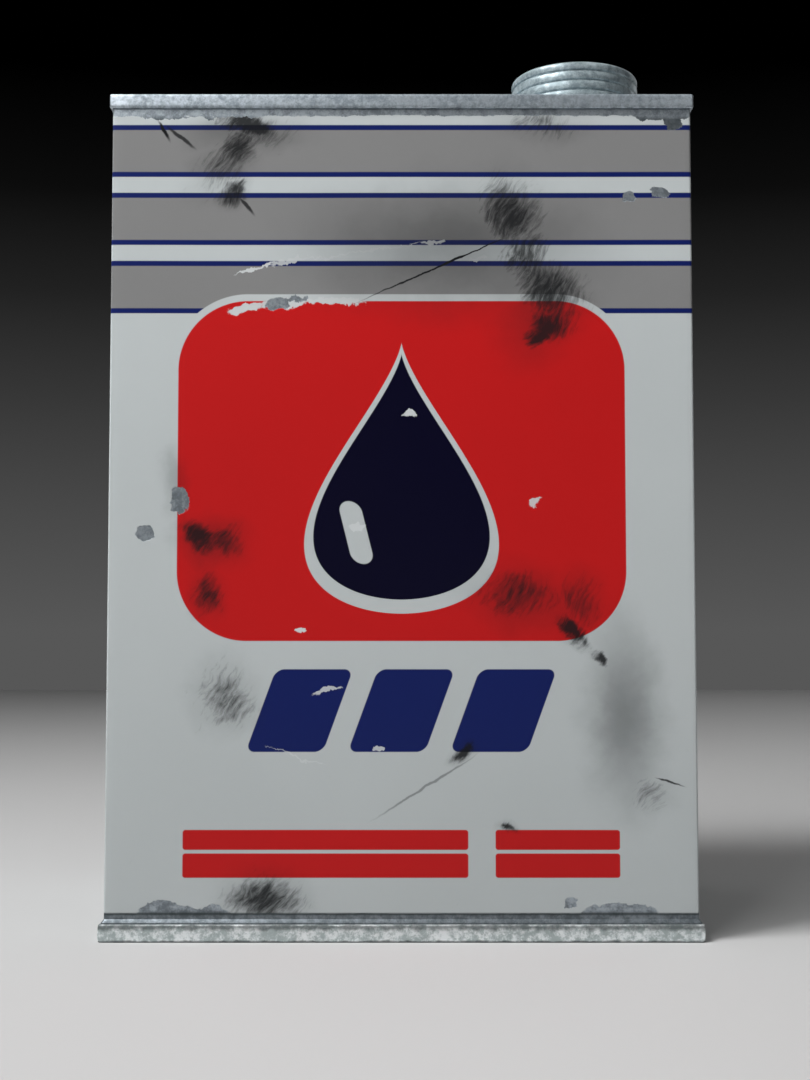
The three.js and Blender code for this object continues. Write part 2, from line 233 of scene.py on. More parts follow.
def turned(name, profile, steps=128, centre=AXIS):
    """A closed turned mesh: a profile of (radius, height) points that joins up, or starts and ends on the axis."""
    on_axis = profile[0][0] < 1e-9
    inner = profile[1:-1] if on_axis else profile
    rings = [circle_ring(radius, z, steps, centre) for radius, z in inner]
    mesh = skin(name, rings, joins_up=not on_axis, caps=(False, False))
    if on_axis:
        made = bmesh.new()
        made.from_mesh(mesh)
        made.verts.ensure_lookup_table()
        for ring_start, z in ((0, profile[0][1]), (len(made.verts) - steps, profile[-1][1])):
            middle = made.verts.new((centre.x, centre.y, z))
            made.verts.ensure_lookup_table()
            for j in range(steps):
                made.faces.new((made.verts[ring_start + j], made.verts[ring_start + (j + 1) % steps], middle))
        bmesh.ops.recalc_face_normals(made, faces=made.faces)
        made.to_mesh(mesh)
        made.free()
    return mesh


def face_outwards(mesh, merge=1e-7):
    made = bmesh.new()
    made.from_mesh(mesh)
    bmesh.ops.remove_doubles(made, verts=made.verts, dist=merge)
    bmesh.ops.recalc_face_normals(made, faces=made.faces)
    made.to_mesh(mesh)
    made.free()


def place(name, mesh, material, body, slot, replaced=(), sharp=35):
    """Puts a finished mesh in the scene as a piece that rides on a body."""
    if material:
        mesh.materials.clear()
        mesh.materials.append(material)
    face_outwards(mesh)
    mesh.shade_smooth()
    mesh.set_sharp_from_angle(angle=math.radians(sharp))
    piece = bpy.data.objects.new(name, mesh)
    bpy.context.scene.collection.objects.link(piece)
    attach(piece, body)
    if replaced:
        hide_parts(*replaced)
    return piece


def polyline(name, points, closed=False):
    """A mesh of edges only, for a tree to turn into a curve."""
    mesh = bpy.data.meshes.new(name)
    edges = [(i, i + 1) for i in range(len(points) - 1)]
    if closed:
        edges.append((len(points) - 1, 0))
    mesh.from_pydata([Vector(p) for p in points], edges, [])
    return mesh


def new_tree(name, inputs):
    """A Geometry Nodes tree with a geometry input, the named inputs and a geometry output."""
    tree = bpy.data.node_groups.new(name, "GeometryNodeTree")
    tree.interface.new_socket("Geometry", in_out="INPUT", socket_type="NodeSocketGeometry")
    tree.interface.new_socket("Geometry", in_out="OUTPUT", socket_type="NodeSocketGeometry")
    for label, kind in inputs:
        tree.interface.new_socket(label, in_out="INPUT", socket_type=kind)
    group = tree.nodes.new("NodeGroupInput")
    return tree, group.outputs


def end_tree(tree, geometry, material):
    real = put(tree, "GeometryNodeRealizeInstances", {"Geometry": geometry})
    done = put(tree, "GeometryNodeSetMaterial", {"Geometry": real, "Material": material})
    put(tree, "NodeGroupOutput", {"Geometry": done})


def grown(mesh, tree, values):
    """The mesh that a tree grows from a base mesh, with the tree's named inputs set."""
    base = bpy.data.objects.new(mesh.name, mesh)
    bpy.context.scene.collection.objects.link(base)
    modifier = base.modifiers.new("Growth", "NODES")
    modifier.node_group = tree
    sockets = {s.name: s.identifier for s in tree.interface.items_tree if s.in_out == "INPUT"}
    for label, value in values.items():
        modifier[sockets[label]] = value
    bpy.context.view_layer.update()
    depsgraph = bpy.context.evaluated_depsgraph_get()
    result = bpy.data.meshes.new_from_object(base.evaluated_get(depsgraph), depsgraph=depsgraph)
    base.modifiers.remove(modifier)
    bpy.data.objects.remove(base)
    return result


# ---------------------------------------------------------------- materials


def metal_surface(tree, mm, dark, light, blotch_mm=2.0, contrast=1.0):
    """Colour, roughness and height of bare tinned steel: cloudy blotches a few millimetres wide, with a fine
    frosted grain between them, which is what old hot-dipped tin shows. Returns three sockets."""
    wide = put(tree, "ShaderNodeTexNoise", {"Vector": mm, "Scale": 1 / (6 * blotch_mm), "Detail": 2.0})
    blotch = put(
        tree, "ShaderNodeTexNoise", {"Vector": mm, "Scale": 1 / blotch_mm, "Detail": 4.0, "Roughness": 0.6}
    )
    grain = put(tree, "ShaderNodeTexNoise", {"Vector": mm, "Scale": 2.2, "Detail": 2.0})
    both = put(tree, "ShaderNodeMath", {0: grain, 1: 0.3, 2: blotch}, operation="MULTIPLY_ADD")
    mottle = put(tree, "ShaderNodeMath", {0: wide, 1: 0.5, 2: both}, operation="MULTIPLY_ADD")
    half = 0.2 / contrast
    share = put(
        tree,
        "ShaderNodeMapRange",
        {"Value": mottle, "From Min": 0.9 - half, "From Max": 0.9 + half},
        interpolation_type="SMOOTHSTEP",
    )
    tone = put(
        tree,
        "ShaderNodeMix",
        {"Factor": share, "A": srgb(dark), "B": srgb(light)},
        out="Result",
        data_type="RGBA",
    )
    rough = put(
        tree, "ShaderNodeMapRange", {"Value": mottle, "From Min": 0.66, "From Max": 1.14, "To Min": 0.5, "To Max": 0.34}
    )
    return tone, rough, mottle


def tinned_steel(name, dark, light, blotch_mm=2.0, amount=0.5, bands=(), contrast=1.0, shine=0.85):
    """Old hot-dipped tinplate, dulled and frosted: soft cloudy reflections, grey where the tin has worn thin.
    Bands of painted shade lie between pairs of heights, in millimetres."""
    material, tree = new_material(name)
    mm = millimetres(tree)
    tone, rough, mottle = metal_surface(tree, mm, dark, light, blotch_mm, contrast)
    dirt_and_shade = put(tree, "ShaderNodeTexNoise", {"Vector": mm, "Scale": 1 / 7, "Detail": 6.0, "Roughness": 0.7})
    dirt_and_shade = put(
        tree,
        "ShaderNodeMapRange",
        {"Value": dirt_and_shade, "From Min": 0.52, "From Max": 0.72, "To Max": amount},
        interpolation_type="SMOOTHSTEP",
    )
    # Painted shade: each band darkens the colour towards dark grey between two heights, where shade falls.
    if bands:
        height = put(tree, "ShaderNodeSeparateXYZ", {0: mm}, out="Z")
        ragged = put(tree, "ShaderNodeTexNoise", {"Vector": mm, "Scale": 1 / 3.4, "Detail": 5.0})
    for low, high, strength in bands:
        middle, half = (low + high) / 2, (high - low) / 2
        away = put(tree, "ShaderNodeMath", {0: height, 1: middle}, operation="SUBTRACT")
        away = put(tree, "ShaderNodeMath", {0: away}, operation="ABSOLUTE")
        away = put(tree, "ShaderNodeMath", {0: ragged, 1: 2.6 * half, 2: away}, operation="MULTIPLY_ADD")
        band = put(
            tree,
            "ShaderNodeMapRange",
            {"Value": away, "From Min": 1.4 * half, "From Max": 2.6 * half, "To Min": strength, "To Max": 0.0},
            interpolation_type="SMOOTHSTEP",
        )
        dirt_and_shade = put(tree, "ShaderNodeMath", {0: dirt_and_shade, 1: band}, operation="MAXIMUM")
    # The colour goes to dark grey with the random dirt and with the painted shade of the bands.
    tone = put(
        tree, "ShaderNodeMix", {"Factor": dirt_and_shade, "A": tone, "B": srgb("#2a3032")}, out="Result", data_type="RGBA"
    )
    metallic = put(tree, "ShaderNodeMapRange", {"Value": dirt_and_shade, "To Min": shine, "To Max": 0.3})
    rough = put(tree, "ShaderNodeMath", {0: dirt_and_shade, 1: 0.35, 2: rough}, operation="MULTIPLY_ADD", use_clamp=True)
    bump = put(tree, "ShaderNodeBump", {"Height": mottle, "Strength": 0.25, "Distance": 0.05 * MM})
    finish_material(tree, tone, metallic, rough, bump)
    return material


def drawn_wire(name):
    """Galvanised drawn wire: dull zinc grey, mottled with darker rubbed patches."""
    material, tree = new_material(name)
    mm = millimetres(tree)
    tone, rough, mottle = metal_surface(tree, mm, "#6e7578", "#a7aeb1", blotch_mm=1.5)
    bump = put(tree, "ShaderNodeBump", {"Height": mottle, "Strength": 0.3, "Distance": 0.06 * MM})
    finish_material(tree, tone, None, rough, bump, Metallic=0.85)
    return material


def soft_solder(name):
    """Wiped soft solder: bright dull grey, lumpy, with a greasy unevenness about a millimetre across."""
    material, tree = new_material(name)
    mm = millimetres(tree)
    tone, rough, mottle = metal_surface(tree, mm, "#7c8184", "#c0c4c6", blotch_mm=1.2)
    bump = put(tree, "ShaderNodeBump", {"Height": mottle, "Strength": 0.5, "Distance": 0.15 * MM})
    finish_material(tree, tone, None, rough, bump, Metallic=0.75)
    return material


def plain_stuff(name, dark, light, cell_mm, rough, metallic=0.0, bump_mm=0.05):
    """A plain inner material with a mottled colour: sealing compound, waxed board or foil."""
    material, tree = new_material(name)
    mm = millimetres(tree)
    cells = put(tree, "ShaderNodeTexNoise", {"Vector": mm, "Scale": 1 / cell_mm, "Detail": 5.0})
    tone = put(
        tree, "ShaderNodeMix", {"Factor": cells, "A": srgb(dark), "B": srgb(light)}, out="Result", data_type="RGBA"
    )
    uneven = put(tree, "ShaderNodeMapRange", {"Value": cells, "To Min": rough - 0.1, "To Max": rough + 0.1})
    bump = put(tree, "ShaderNodeBump", {"Height": cells, "Strength": 0.4, "Distance": bump_mm * MM})
    finish_material(tree, tone, None, uneven, bump, Metallic=metallic)
    return material


# Marks on the front: middle x and z, half length, half height and tilt. Millimetres and degrees.
SOOT = (
    (-45, 234, 15, 8, 0, 1.0),
    (-42, 231, 24, 10, 12, 0.62),
    (-48, 226.5, 14, 9, 40, 0.85),
    (-51, 222, 17, 12, 35, 0.6),
    (-48.5, 213.5, 8, 6, 0, 0.85),
    (40, 233.5, 20, 9, 0, 0.6),
    (31, 208, 18, 17, -20, 0.85),
    (36, 196, 17, 15, -40, 0.75),
    (43, 186, 20, 17, -30, 0.85),
    (42.7, 177, 17, 12, 20, 0.9),
    (38.5, 172.5, 10, 6, 10, 1.0),
    (-57.5, 113, 11, 8, -40, 1.0),
    (-52, 112, 12, 9, 0, 0.75),
    (-56, 99, 8, 12, 10, 0.8),
    (-50, 70, 16, 15, 0, 0.62),
    (-38, 12, 20, 13, 0, 0.85),
    (34, 98, 24, 12, -10, 0.68),
    (51, 97, 13, 12, 50, 0.62),
    (47.5, 89.5, 10, 4.2, -46, 1.0),
    (54.5, 81.5, 6, 3.4, -42, 0.95),
    (17, 53.2, 7, 3.6, 18, 1.0),
    (28.7, 31.5, 5.5, 2.8, 0, 0.9),
    (70, 40, 12, 9, 0, 0.5),
)
HAZE = (
    (-45, 232, 24, 10, 0, 0.45),
    (14, 198, 62, 27, 0, 0.55),
    (38, 180, 18, 24, -15, 0.4),
    (36, 97, 24, 14, -10, 0.35),
    (63, 64, 17, 40, 4, 0.55),
    (-65, 130, 6, 14, 0, 0.3),
    (-55, 112, 14, 10, 0, 0.5),
)
DARK_LINES = (
    (-69, 232.5, 4.5, 0.7, -60, 1.0),
    (-64, 230.5, 7, 0.8, -38, 0.9),
    (11.5, 192.9, 34, 0.42, 23.8, 1.0),
    (15, 194.6, 7, 0.5, 23, 1.0),
    (7, 43.4, 21, 0.5, 32, 0.5),
    (76, 44.7, 5.5, 0.4, -17, 0.9),
    (-45, 210.5, 4.5, 0.7, -50, 0.9),
    (-47.5, 216, 4, 0.8, 55, 0.9),
)
BARE = (
    (-63.5, 124.8, 2.6, 4.6, 5, 1.0),
    (-73.4, 115.6, 3.0, 2.2, 25, 1.0),
    (-36, 181.6, 3.4, 1.9, 12, 1.0),
    (-30, 183.2, 3.4, 0.8, 6, 1.0),
    (66.2, 212.7, 2.3, 1.7, -20, 1.0),
    (74.9, 214.2, 3.2, 1.6, 5, 1.0),
    (47.6, 10.8, 1.9, 2.1, 0, 1.0),
    (76, 236.8, 9.5, 1.5, 0, 1.0),
    (79, 234.6, 3.4, 2.2, -30, 1.0),
    (-70, 236.8, 9, 1.2, 0, 1.0),
    (-50, 236.9, 9, 0.8, 0, 1.0),
    (-67, 8.2, 7, 3.2, 0, 1.0),
    (-56, 7.8, 7.5, 2.3, 0, 1.0),
    (62, 8.0, 11, 2.9, 0, 1.0),
)
INK_LOSS = (
    (2.4, 149.9, 2.0, 1.3, 0, 1.0),
    (-12.7, 117.1, 2.6, 1.3, 0, 1.0),
    (-45, 180.6, 6, 1.5, 10, 1.0),
    (-34, 182.0, 8, 1.7, 4, 1.0),
    (-19, 182.6, 10, 1.1, 0, 1.0),
    (38, 124, 2.2, 1.6, 30, 0.9),
    (-29, 87.6, 1.8, 0.9, 0, 1.0),
    (22, 195, 3.2, 0.7, 10, 0.8),
    (-21.5, 70.5, 4.5, 0.8, 15, 0.8),
    (-6.5, 54.4, 1.8, 0.8, 0, 0.8),
)
LIGHT_LINES = (
    (-42, 192.0, 7, 0.6, 14, 1.0),
    (-33, 194.0, 5, 0.9, 12, 0.8),
    (-14, 196.6, 24, 0.3, 8, 0.7),
    (9, 199.8, 4, 0.7, 10, 0.9),
    (-30, 52, 10, 0.3, -20, 0.5),
)


def marks(tree, place, table, soft):
    """How strongly a point lies on any of a table's marks, from 0 to 1. soft is how much of a mark fades out."""
    total = None
    for x, z, half_long, half_high, tilt, strength in table:
        local = put(
            tree,
            "ShaderNodeMapping",
            {
                "Vector": place,
                "Location": (x, z, 0),
                "Rotation": (0, 0, math.radians(tilt)),
                "Scale": (half_long, half_high, 1),
            },
            vector_type="TEXTURE",
        )
        away = put(tree, "ShaderNodeVectorMath", {0: local}, operation="LENGTH", out="Value")
        mark = put(
            tree,
            "ShaderNodeMapRange",
            {"Value": away, "From Min": 1 - soft, "From Max": 1.0, "To Min": strength, "To Max": 0.0},
            interpolation_type="SMOOTHSTEP",
        )
        total = mark if total is None else put(tree, "ShaderNodeMath", {0: total, 1: mark}, operation="MAXIMUM")
    return total


def warped(tree, flat, size_mm, reach_mm, detail=4.0):
    """A flat place pushed about by noise, so that what is drawn on it gets ragged edges."""
    push = put(tree, "ShaderNodeTexNoise", {"Vector": flat, "Scale": 1 / size_mm, "Detail": detail}, out="Color")
    push = put(tree, "ShaderNodeVectorMath", {0: push, 1: (0.5, 0.5, 0.5)}, operation="SUBTRACT")
    push = put(tree, "ShaderNodeVectorMath", {0: push, 1: (2 * reach_mm, 2 * reach_mm, 0)}, operation="MULTIPLY")
    return put(tree, "ShaderNodeVectorMath", {0: flat, 1: push}, operation="ADD")


def round_box(tree, flat, x, z, half_x, half_z, corner, lean=0.0):
    """How far a point is outside a box with round corners, leaning to the right by an angle in degrees."""
    local = put(tree, "ShaderNodeVectorMath", {0: flat, 1: (x, z, 0)}, operation="SUBTRACT")
    if lean:
        slope = put(tree, "ShaderNodeSeparateXYZ", {0: local}, out="Y")
        shift = put(tree, "ShaderNodeMath", {0: slope, 1: -math.tan(math.radians(lean))}, operation="MULTIPLY")
        shift = put(tree, "ShaderNodeCombineXYZ", {"X": shift})
        local = put(tree, "ShaderNodeVectorMath", {0: local, 1: shift}, operation="ADD")
    local = put(tree, "ShaderNodeVectorMath", {0: local}, operation="ABSOLUTE")
    inside = (half_x - corner, half_z - corner, 0)
    local = put(tree, "ShaderNodeVectorMath", {0: local, 1: inside}, operation="SUBTRACT")
    local = put(tree, "ShaderNodeVectorMath", {0: local, 1: (0, 0, 0)}, operation="MAXIMUM")
    away = put(tree, "ShaderNodeVectorMath", {0: local}, operation="LENGTH", out="Value")
    return put(tree, "ShaderNodeMath", {0: away, 1: corner}, operation="SUBTRACT")


def drop_shape(tree, flat, z, half_high, fullness):
    """How far a point is outside a drop that hangs from its tip, measured sideways."""
    x = put(tree, "ShaderNodeSeparateXYZ", {0: flat}, out="X")
    height = put(tree, "ShaderNodeSeparateXYZ", {0: flat}, out="Y")
    along = put(tree, "ShaderNodeMath", {0: height, 1: z}, operation="SUBTRACT")
    along = put(tree, "ShaderNodeMath", {0: along, 1: half_high}, operation="DIVIDE")
    square = put(tree, "ShaderNodeMath", {0: along, 1: along}, operation="MULTIPLY")
    root = put(tree, "ShaderNodeMath", {0: 1.0, 1: square}, operation="SUBTRACT")
    root = put(tree, "ShaderNodeMath", {0: root, 1: 0.0}, operation="MAXIMUM")
    root = put(tree, "ShaderNodeMath", {0: root}, operation="SQRT")
    taper = put(tree, "ShaderNodeMath", {0: 1.0, 1: along}, operation="SUBTRACT")
    half = put(tree, "ShaderNodeMath", {0: root, 1: taper}, operation="MULTIPLY")
    half = put(tree, "ShaderNodeMath", {0: half, 1: fullness}, operation="MULTIPLY")
    x = put(tree, "ShaderNodeMath", {0: x}, operation="ABSOLUTE")
    return put(tree, "ShaderNodeMath", {0: x, 1: half}, operation="SUBTRACT")


def laid(tree, below, ink, distance, edge=0.0, blur=0.12):
    """An ink laid where a distance is under an edge, with a printed edge's small blur in millimetres."""
    share = put(
        tree,
        "ShaderNodeMapRange",
        {"Value": distance, "From Min": edge - blur, "From Max": edge + blur, "To Min": 1.0, "To Max": 0.0},
    )
    return put(tree, "ShaderNodeMix", {"Factor": share, "A": below, "B": ink}, out="Result", data_type="RGBA")


def printed_design(tree, flat, height, look):
    """The print: bands and stripes round the can, and on both wide faces a panel with a drop, bars and rules."""
    pale, band, stripe = tuple(look.pale), tuple(look.band), tuple(look.stripe)
    red, navy = tuple(look.red), tuple(look.navy)
    tone = pale
    middles, edges = [], []
    for row in range(3):
        top = (look.first_stripe - row * look.stripe_pitch) / MM
        bottom = top - look.band_height / MM
        middles.append((top + bottom) / 2)
        edges += [top, bottom]
    for middle in middles:
        away = put(tree, "ShaderNodeMath", {0: height, 1: middle}, operation="SUBTRACT")
        away = put(tree, "ShaderNodeMath", {0: away}, operation="ABSOLUTE")
        tone = laid(tree, tone, band, away, look.band_height / MM / 2)
    for edge in edges:
        away = put(tree, "ShaderNodeMath", {0: height, 1: edge}, operation="SUBTRACT")
        away = put(tree, "ShaderNodeMath", {0: away}, operation="ABSOLUTE")
        tone = laid(tree, tone, stripe, away, look.stripe_width / MM / 2)
    middle = look.panel_middle / MM
    panel = round_box(
        tree, flat, 0, middle, look.panel_width / MM / 2, look.panel_height / MM / 2, look.panel_corner / MM
    )
    tone = laid(tree, tone, pale, panel, 2.0)
    tone = laid(tree, tone, red, panel)
    drop_middle = middle - 1
    tone = laid(tree, tone, pale, drop_shape(tree, flat, drop_middle - 0.6, 39.6, 21.6), -0.2)
    tone = laid(tree, tone, navy, drop_shape(tree, flat, drop_middle - 0.2, 36, 19.6), -0.2)
    glint = round_box(tree, flat, -13, drop_middle - 17, 3.2, 9, 3.2, lean=-14)
    tone = laid(tree, tone, pale, glint)
    for x in (-29, 0, 29):
        tone = laid(tree, tone, stripe, round_box(tree, flat, x, 64.8, 11, 11.7, 2.5, lean=20))
    for x, half in ((-21.5, 40.4), (44.2, 17.6)):
        for z, thick in ((28.4, 2.8), (21.2, 3.4)):
            tone = laid(tree, tone, red, round_box(tree, flat, x, z, half, thick, 0.8))
    return tone


def printed_tinplate(name, look):
    """Lithographed tinplate: satin stoved enamel inks on tin, sooty and scratched, with chips down to bare metal."""
    material, tree = new_material(name)
    mm = millimetres(tree)
    parts = put(tree, "ShaderNodeSeparateXYZ", {0: mm}, out="X")
    split = parts.node
    across, depth, height = split.outputs["X"], split.outputs["Y"], split.outputs["Z"]
    facing = put(tree, "ShaderNodeMath", {0: depth}, operation="SIGN")
    facing = put(tree, "ShaderNodeMath", {0: facing, 1: -1.0}, operation="MULTIPLY")
    read_x = put(tree, "ShaderNodeMath", {0: across, 1: facing}, operation="MULTIPLY")
    flat = put(tree, "ShaderNodeCombineXYZ", {"X": read_x, "Y": height})
    front_edge = CAD_BOUNDS[0][1] / MM + 4
    front = put(tree, "ShaderNodeMath", {0: depth, 1: front_edge}, operation="LESS_THAN")
    elsewhere = put(tree, "ShaderNodeMath", {0: 1.0, 1: front}, operation="SUBTRACT")

    tone = printed_design(tree, flat, height, look)

    # Old ink dulls unevenly over areas as wide as a hand.
    fade = put(tree, "ShaderNodeTexNoise", {"Vector": mm, "Scale": 1 / 70, "Detail": 3.0})
    fade = put(tree, "ShaderNodeMapRange", {"Value": fade, "From Min": 0.35, "From Max": 0.7, "To Max": 0.05})
    tone = put(tree, "ShaderNodeMix", {"Factor": fade, "A": tone, "B": srgb("#202426")}, out="Result", data_type="RGBA")

    # Painted shade: the colour darkens towards the bottom of the can, standing in for the light falling off towards the
    # floor.
    painted_falloff = put(
        tree, "ShaderNodeMapRange", {"Value": height, "From Max": 200.0, "To Min": 0.2, "To Max": 0.0}
    )
    tone = put(tree, "ShaderNodeMix", {"Factor": painted_falloff, "A": tone, "B": srgb("#26282a")}, out="Result", data_type="RGBA")

    # Ink that has flaked off and left the pale ground coat.
    chip_place = warped(tree, warped(tree, flat, 5.0, 1.6), 1.5, 1.4, 5.0)
    lost = marks(tree, chip_place, INK_LOSS + LIGHT_LINES, 0.25)
    lost = put(tree, "ShaderNodeMath", {0: lost, 1: front}, operation="MULTIPLY")
    tone = put(tree, "ShaderNodeMix", {"Factor": lost, "A": tone, "B": srgb("#c9cdce")}, out="Result", data_type="RGBA")

    # Soot and oily dirt: soft clouds broken up by streaks a few millimetres long.
    soot_place = warped(tree, warped(tree, flat, 22, 7.0), 5.0, 2.4, 6.0)
    cloud = marks(tree, soot_place, SOOT, 1.0)
    cloud = put(tree, "ShaderNodeMath", {0: cloud, 1: front}, operation="MULTIPLY")
    far = put(tree, "ShaderNodeTexNoise", {"Vector": mm, "Scale": 1 / 34, "Detail": 4.0, "Distortion": 0.6})
    far = put(
        tree,
        "ShaderNodeMapRange",
        {"Value": far, "From Min": 0.58, "From Max": 0.78, "To Max": 0.8},
        interpolation_type="SMOOTHSTEP",
    )
    far = put(tree, "ShaderNodeMath", {0: far, 1: elsewhere}, operation="MULTIPLY")
    cloud = put(tree, "ShaderNodeMath", {0: cloud, 1: far}, operation="MAXIMUM")
    round_place = put(tree, "ShaderNodeMath", {0: across, 1: depth}, operation="ADD")
    round_place = put(tree, "ShaderNodeCombineXYZ", {"X": round_place, "Y": height})
    hair = put(
        tree,
        "ShaderNodeMapping",
        {"Vector": warped(tree, round_place, 30, 7), "Rotation": (0, 0, math.radians(56)), "Scale": (4.2, 1, 1)},
        vector_type="TEXTURE",
    )
    hair = put(
        tree,
        "ShaderNodeTexNoise",
        {"Vector": hair, "Scale": 1 / 1.2, "Detail": 5.0, "Roughness": 0.68, "Distortion": 0.25},
    )
    hair = put(tree, "ShaderNodeMath", {0: hair, 1: 1.6, 2: -1.2}, operation="MULTIPLY_ADD")
    soot = put(tree, "ShaderNodeMath", {0: cloud, 1: 1.7, 2: hair}, operation="MULTIPLY_ADD")
    soot = put(
        tree,
        "ShaderNodeMapRange",
        {"Value": soot, "From Min": -0.2, "From Max": 1.15, "To Max": 0.96},
        interpolation_type="SMOOTHSTEP",
    )
    veil = marks(tree, soot_place, HAZE, 1.0)
    veil = put(tree, "ShaderNodeMath", {0: veil, 1: front}, operation="MULTIPLY")
    film = put(tree, "ShaderNodeMath", {0: cloud, 1: 0.42}, operation="MULTIPLY")
    veil = put(tree, "ShaderNodeMath", {0: veil, 1: film}, operation="MAXIMUM")
    soot = put(tree, "ShaderNodeMath", {0: soot, 1: veil}, operation="MAXIMUM")
    line_place = warped(tree, flat, 3.0, 0.5)
    lines = marks(tree, line_place, DARK_LINES, 0.6)
    lines = put(tree, "ShaderNodeMath", {0: lines, 1: front}, operation="MULTIPLY")
    soot = put(tree, "ShaderNodeMath", {0: soot, 1: lines}, operation="MAXIMUM")
    tone = put(tree, "ShaderNodeMix", {"Factor": soot, "A": tone, "B": srgb("#17181a")}, out="Result", data_type="RGBA")

    # Bare metal: strips left unprinted at both seams and down the lap, and chips through the ink.
    ragged = put(tree, "ShaderNodeTexNoise", {"Vector": mm, "Scale": 1 / 6, "Detail": 6.0, "Roughness": 0.65})
    ragged = put(tree, "ShaderNodeMapRange", {"Value": ragged, "From Min": 0.45, "From Max": 0.8, "To Max": 1.1})
    top_edge = put(tree, "ShaderNodeMath", {0: RIM_Z / MM - 6.0, 1: ragged}, operation="SUBTRACT")
    over_top = put(tree, "ShaderNodeMath", {0: height, 1: top_edge}, operation="GREATER_THAN")
    under = put(tree, "ShaderNodeMath", {0: ragged, 1: 0.3, 2: 7.8}, operation="MULTIPLY_ADD")
    under = put(tree, "ShaderNodeMath", {0: height, 1: under}, operation="LESS_THAN")
    bare = put(tree, "ShaderNodeMath", {0: over_top, 1: under}, operation="MAXIMUM")
    chips = marks(tree, chip_place, BARE, 0.08)
    chips = put(tree, "ShaderNodeMath", {0: chips, 1: front}, operation="MULTIPLY")
    bare = put(tree, "ShaderNodeMath", {0: bare, 1: chips}, operation="MAXIMUM")
    nicks = put(tree, "ShaderNodeTexNoise", {"Vector": mm, "Scale": 1 / 11, "Detail": 5.0, "Roughness": 0.6})
    nicks = put(tree, "ShaderNodeMath", {0: nicks, 1: 0.705}, operation="GREATER_THAN")
    nicks = put(tree, "ShaderNodeMath", {0: nicks, 1: elsewhere}, operation="MULTIPLY")
    bare = put(tree, "ShaderNodeMath", {0: bare, 1: nicks}, operation="MAXIMUM")
    lap_edge = put(tree, "ShaderNodeMath", {0: depth}, operation="ABSOLUTE")
    lap_edge = put(tree, "ShaderNodeMath", {0: ragged, 1: 0.4, 2: lap_edge}, operation="MULTIPLY_ADD")
    lap = put(tree, "ShaderNodeMath", {0: lap_edge, 1: 6.2}, operation="LESS_THAN")
    left = put(tree, "ShaderNodeMath", {0: across, 1: 0.0}, operation="LESS_THAN")
    lap = put(tree, "ShaderNodeMath", {0: lap, 1: left}, operation="MULTIPLY")
    bare = put(tree, "ShaderNodeMath", {0: bare, 1: lap}, operation="MAXIMUM")

    steel, steel_rough, mottle = metal_surface(tree, mm, "#788086", "#adb6bd", blotch_mm=2.0, contrast=0.9)
    # Painted shade on bare metal: darker low on the body's shoulder above the bottom seam, and a painted shadow below
    # the top rim.
    painted_shade = put(
        tree, "ShaderNodeMapRange", {"Value": height, "From Min": 8.0, "From Max": 9.0, "To Min": 0.45, "To Max": 0.0}
    )
    shadow_below_rim = put(
        tree, "ShaderNodeMapRange", {"Value": height, "From Min": 237.0, "From Max": 235.8, "To Min": 0.0, "To Max": 0.6}
    )
    high_up = put(tree, "ShaderNodeMath", {0: height, 1: 226.0}, operation="GREATER_THAN")
    shadow_below_rim = put(tree, "ShaderNodeMath", {0: shadow_below_rim, 1: high_up}, operation="MULTIPLY")
    painted_shade = put(tree, "ShaderNodeMath", {0: painted_shade, 1: shadow_below_rim}, operation="MAXIMUM")
    steel = put(
        tree,
        "ShaderNodeMix",
        {"Factor": painted_shade, "A": steel, "B": srgb("#2c3436")},
        out="Result",
        data_type="RGBA",
    )
    tone = put(tree, "ShaderNodeMix", {"Factor": bare, "A": tone, "B": steel}, out="Result", data_type="RGBA")
    # Painted shadow: a thin dark line along the top edge of the bare strip above the bottom seam.
    rim_shadow_line = put(tree, "ShaderNodeMath", {0: height, 1: 7.75}, operation="SUBTRACT")
    rim_shadow_line = put(tree, "ShaderNodeMath", {0: rim_shadow_line}, operation="ABSOLUTE")
    tone = laid(tree, tone, srgb("#3a4142"), rim_shadow_line, 0.25, 0.3)
    metallic = put(tree, "ShaderNodeMath", {0: bare, 1: 0.8}, operation="MULTIPLY")
    ink_rough = put(tree, "ShaderNodeMapRange", {"Value": soot, "To Min": 0.38, "To Max": 0.8})
    rough = put(tree, "ShaderNodeMix", {"Factor": bare, "A": ink_rough, "B": steel_rough}, data_type="FLOAT")
    ink = put(tree, "ShaderNodeMath", {0: 1.0, 1: bare}, operation="SUBTRACT")
    relief = put(tree, "ShaderNodeMath", {0: mottle, 1: 0.25, 2: ink}, operation="MULTIPLY_ADD")
    bump = put(tree, "ShaderNodeBump", {"Height": relief, "Strength": 0.6, "Distance": 0.08 * MM})
    finish_material(tree, tone, metallic, rough, bump, Specular_IOR_Level=0.08)
    return material


# ---------------------------------------------------------------- shapes of the pieces


def around(sizes, offset, z, corner_steps=8, straights=None):
    """The body's outline in plan, moved outwards by an offset, at one height."""
    half_x, half_y = TOP_HIGH.x - sizes.top_proud, TOP_HIGH.y - sizes.top_proud
    return rounded_ring(half_x + offset, half_y + offset, sizes.corner_radius, z, corner_steps, straights)


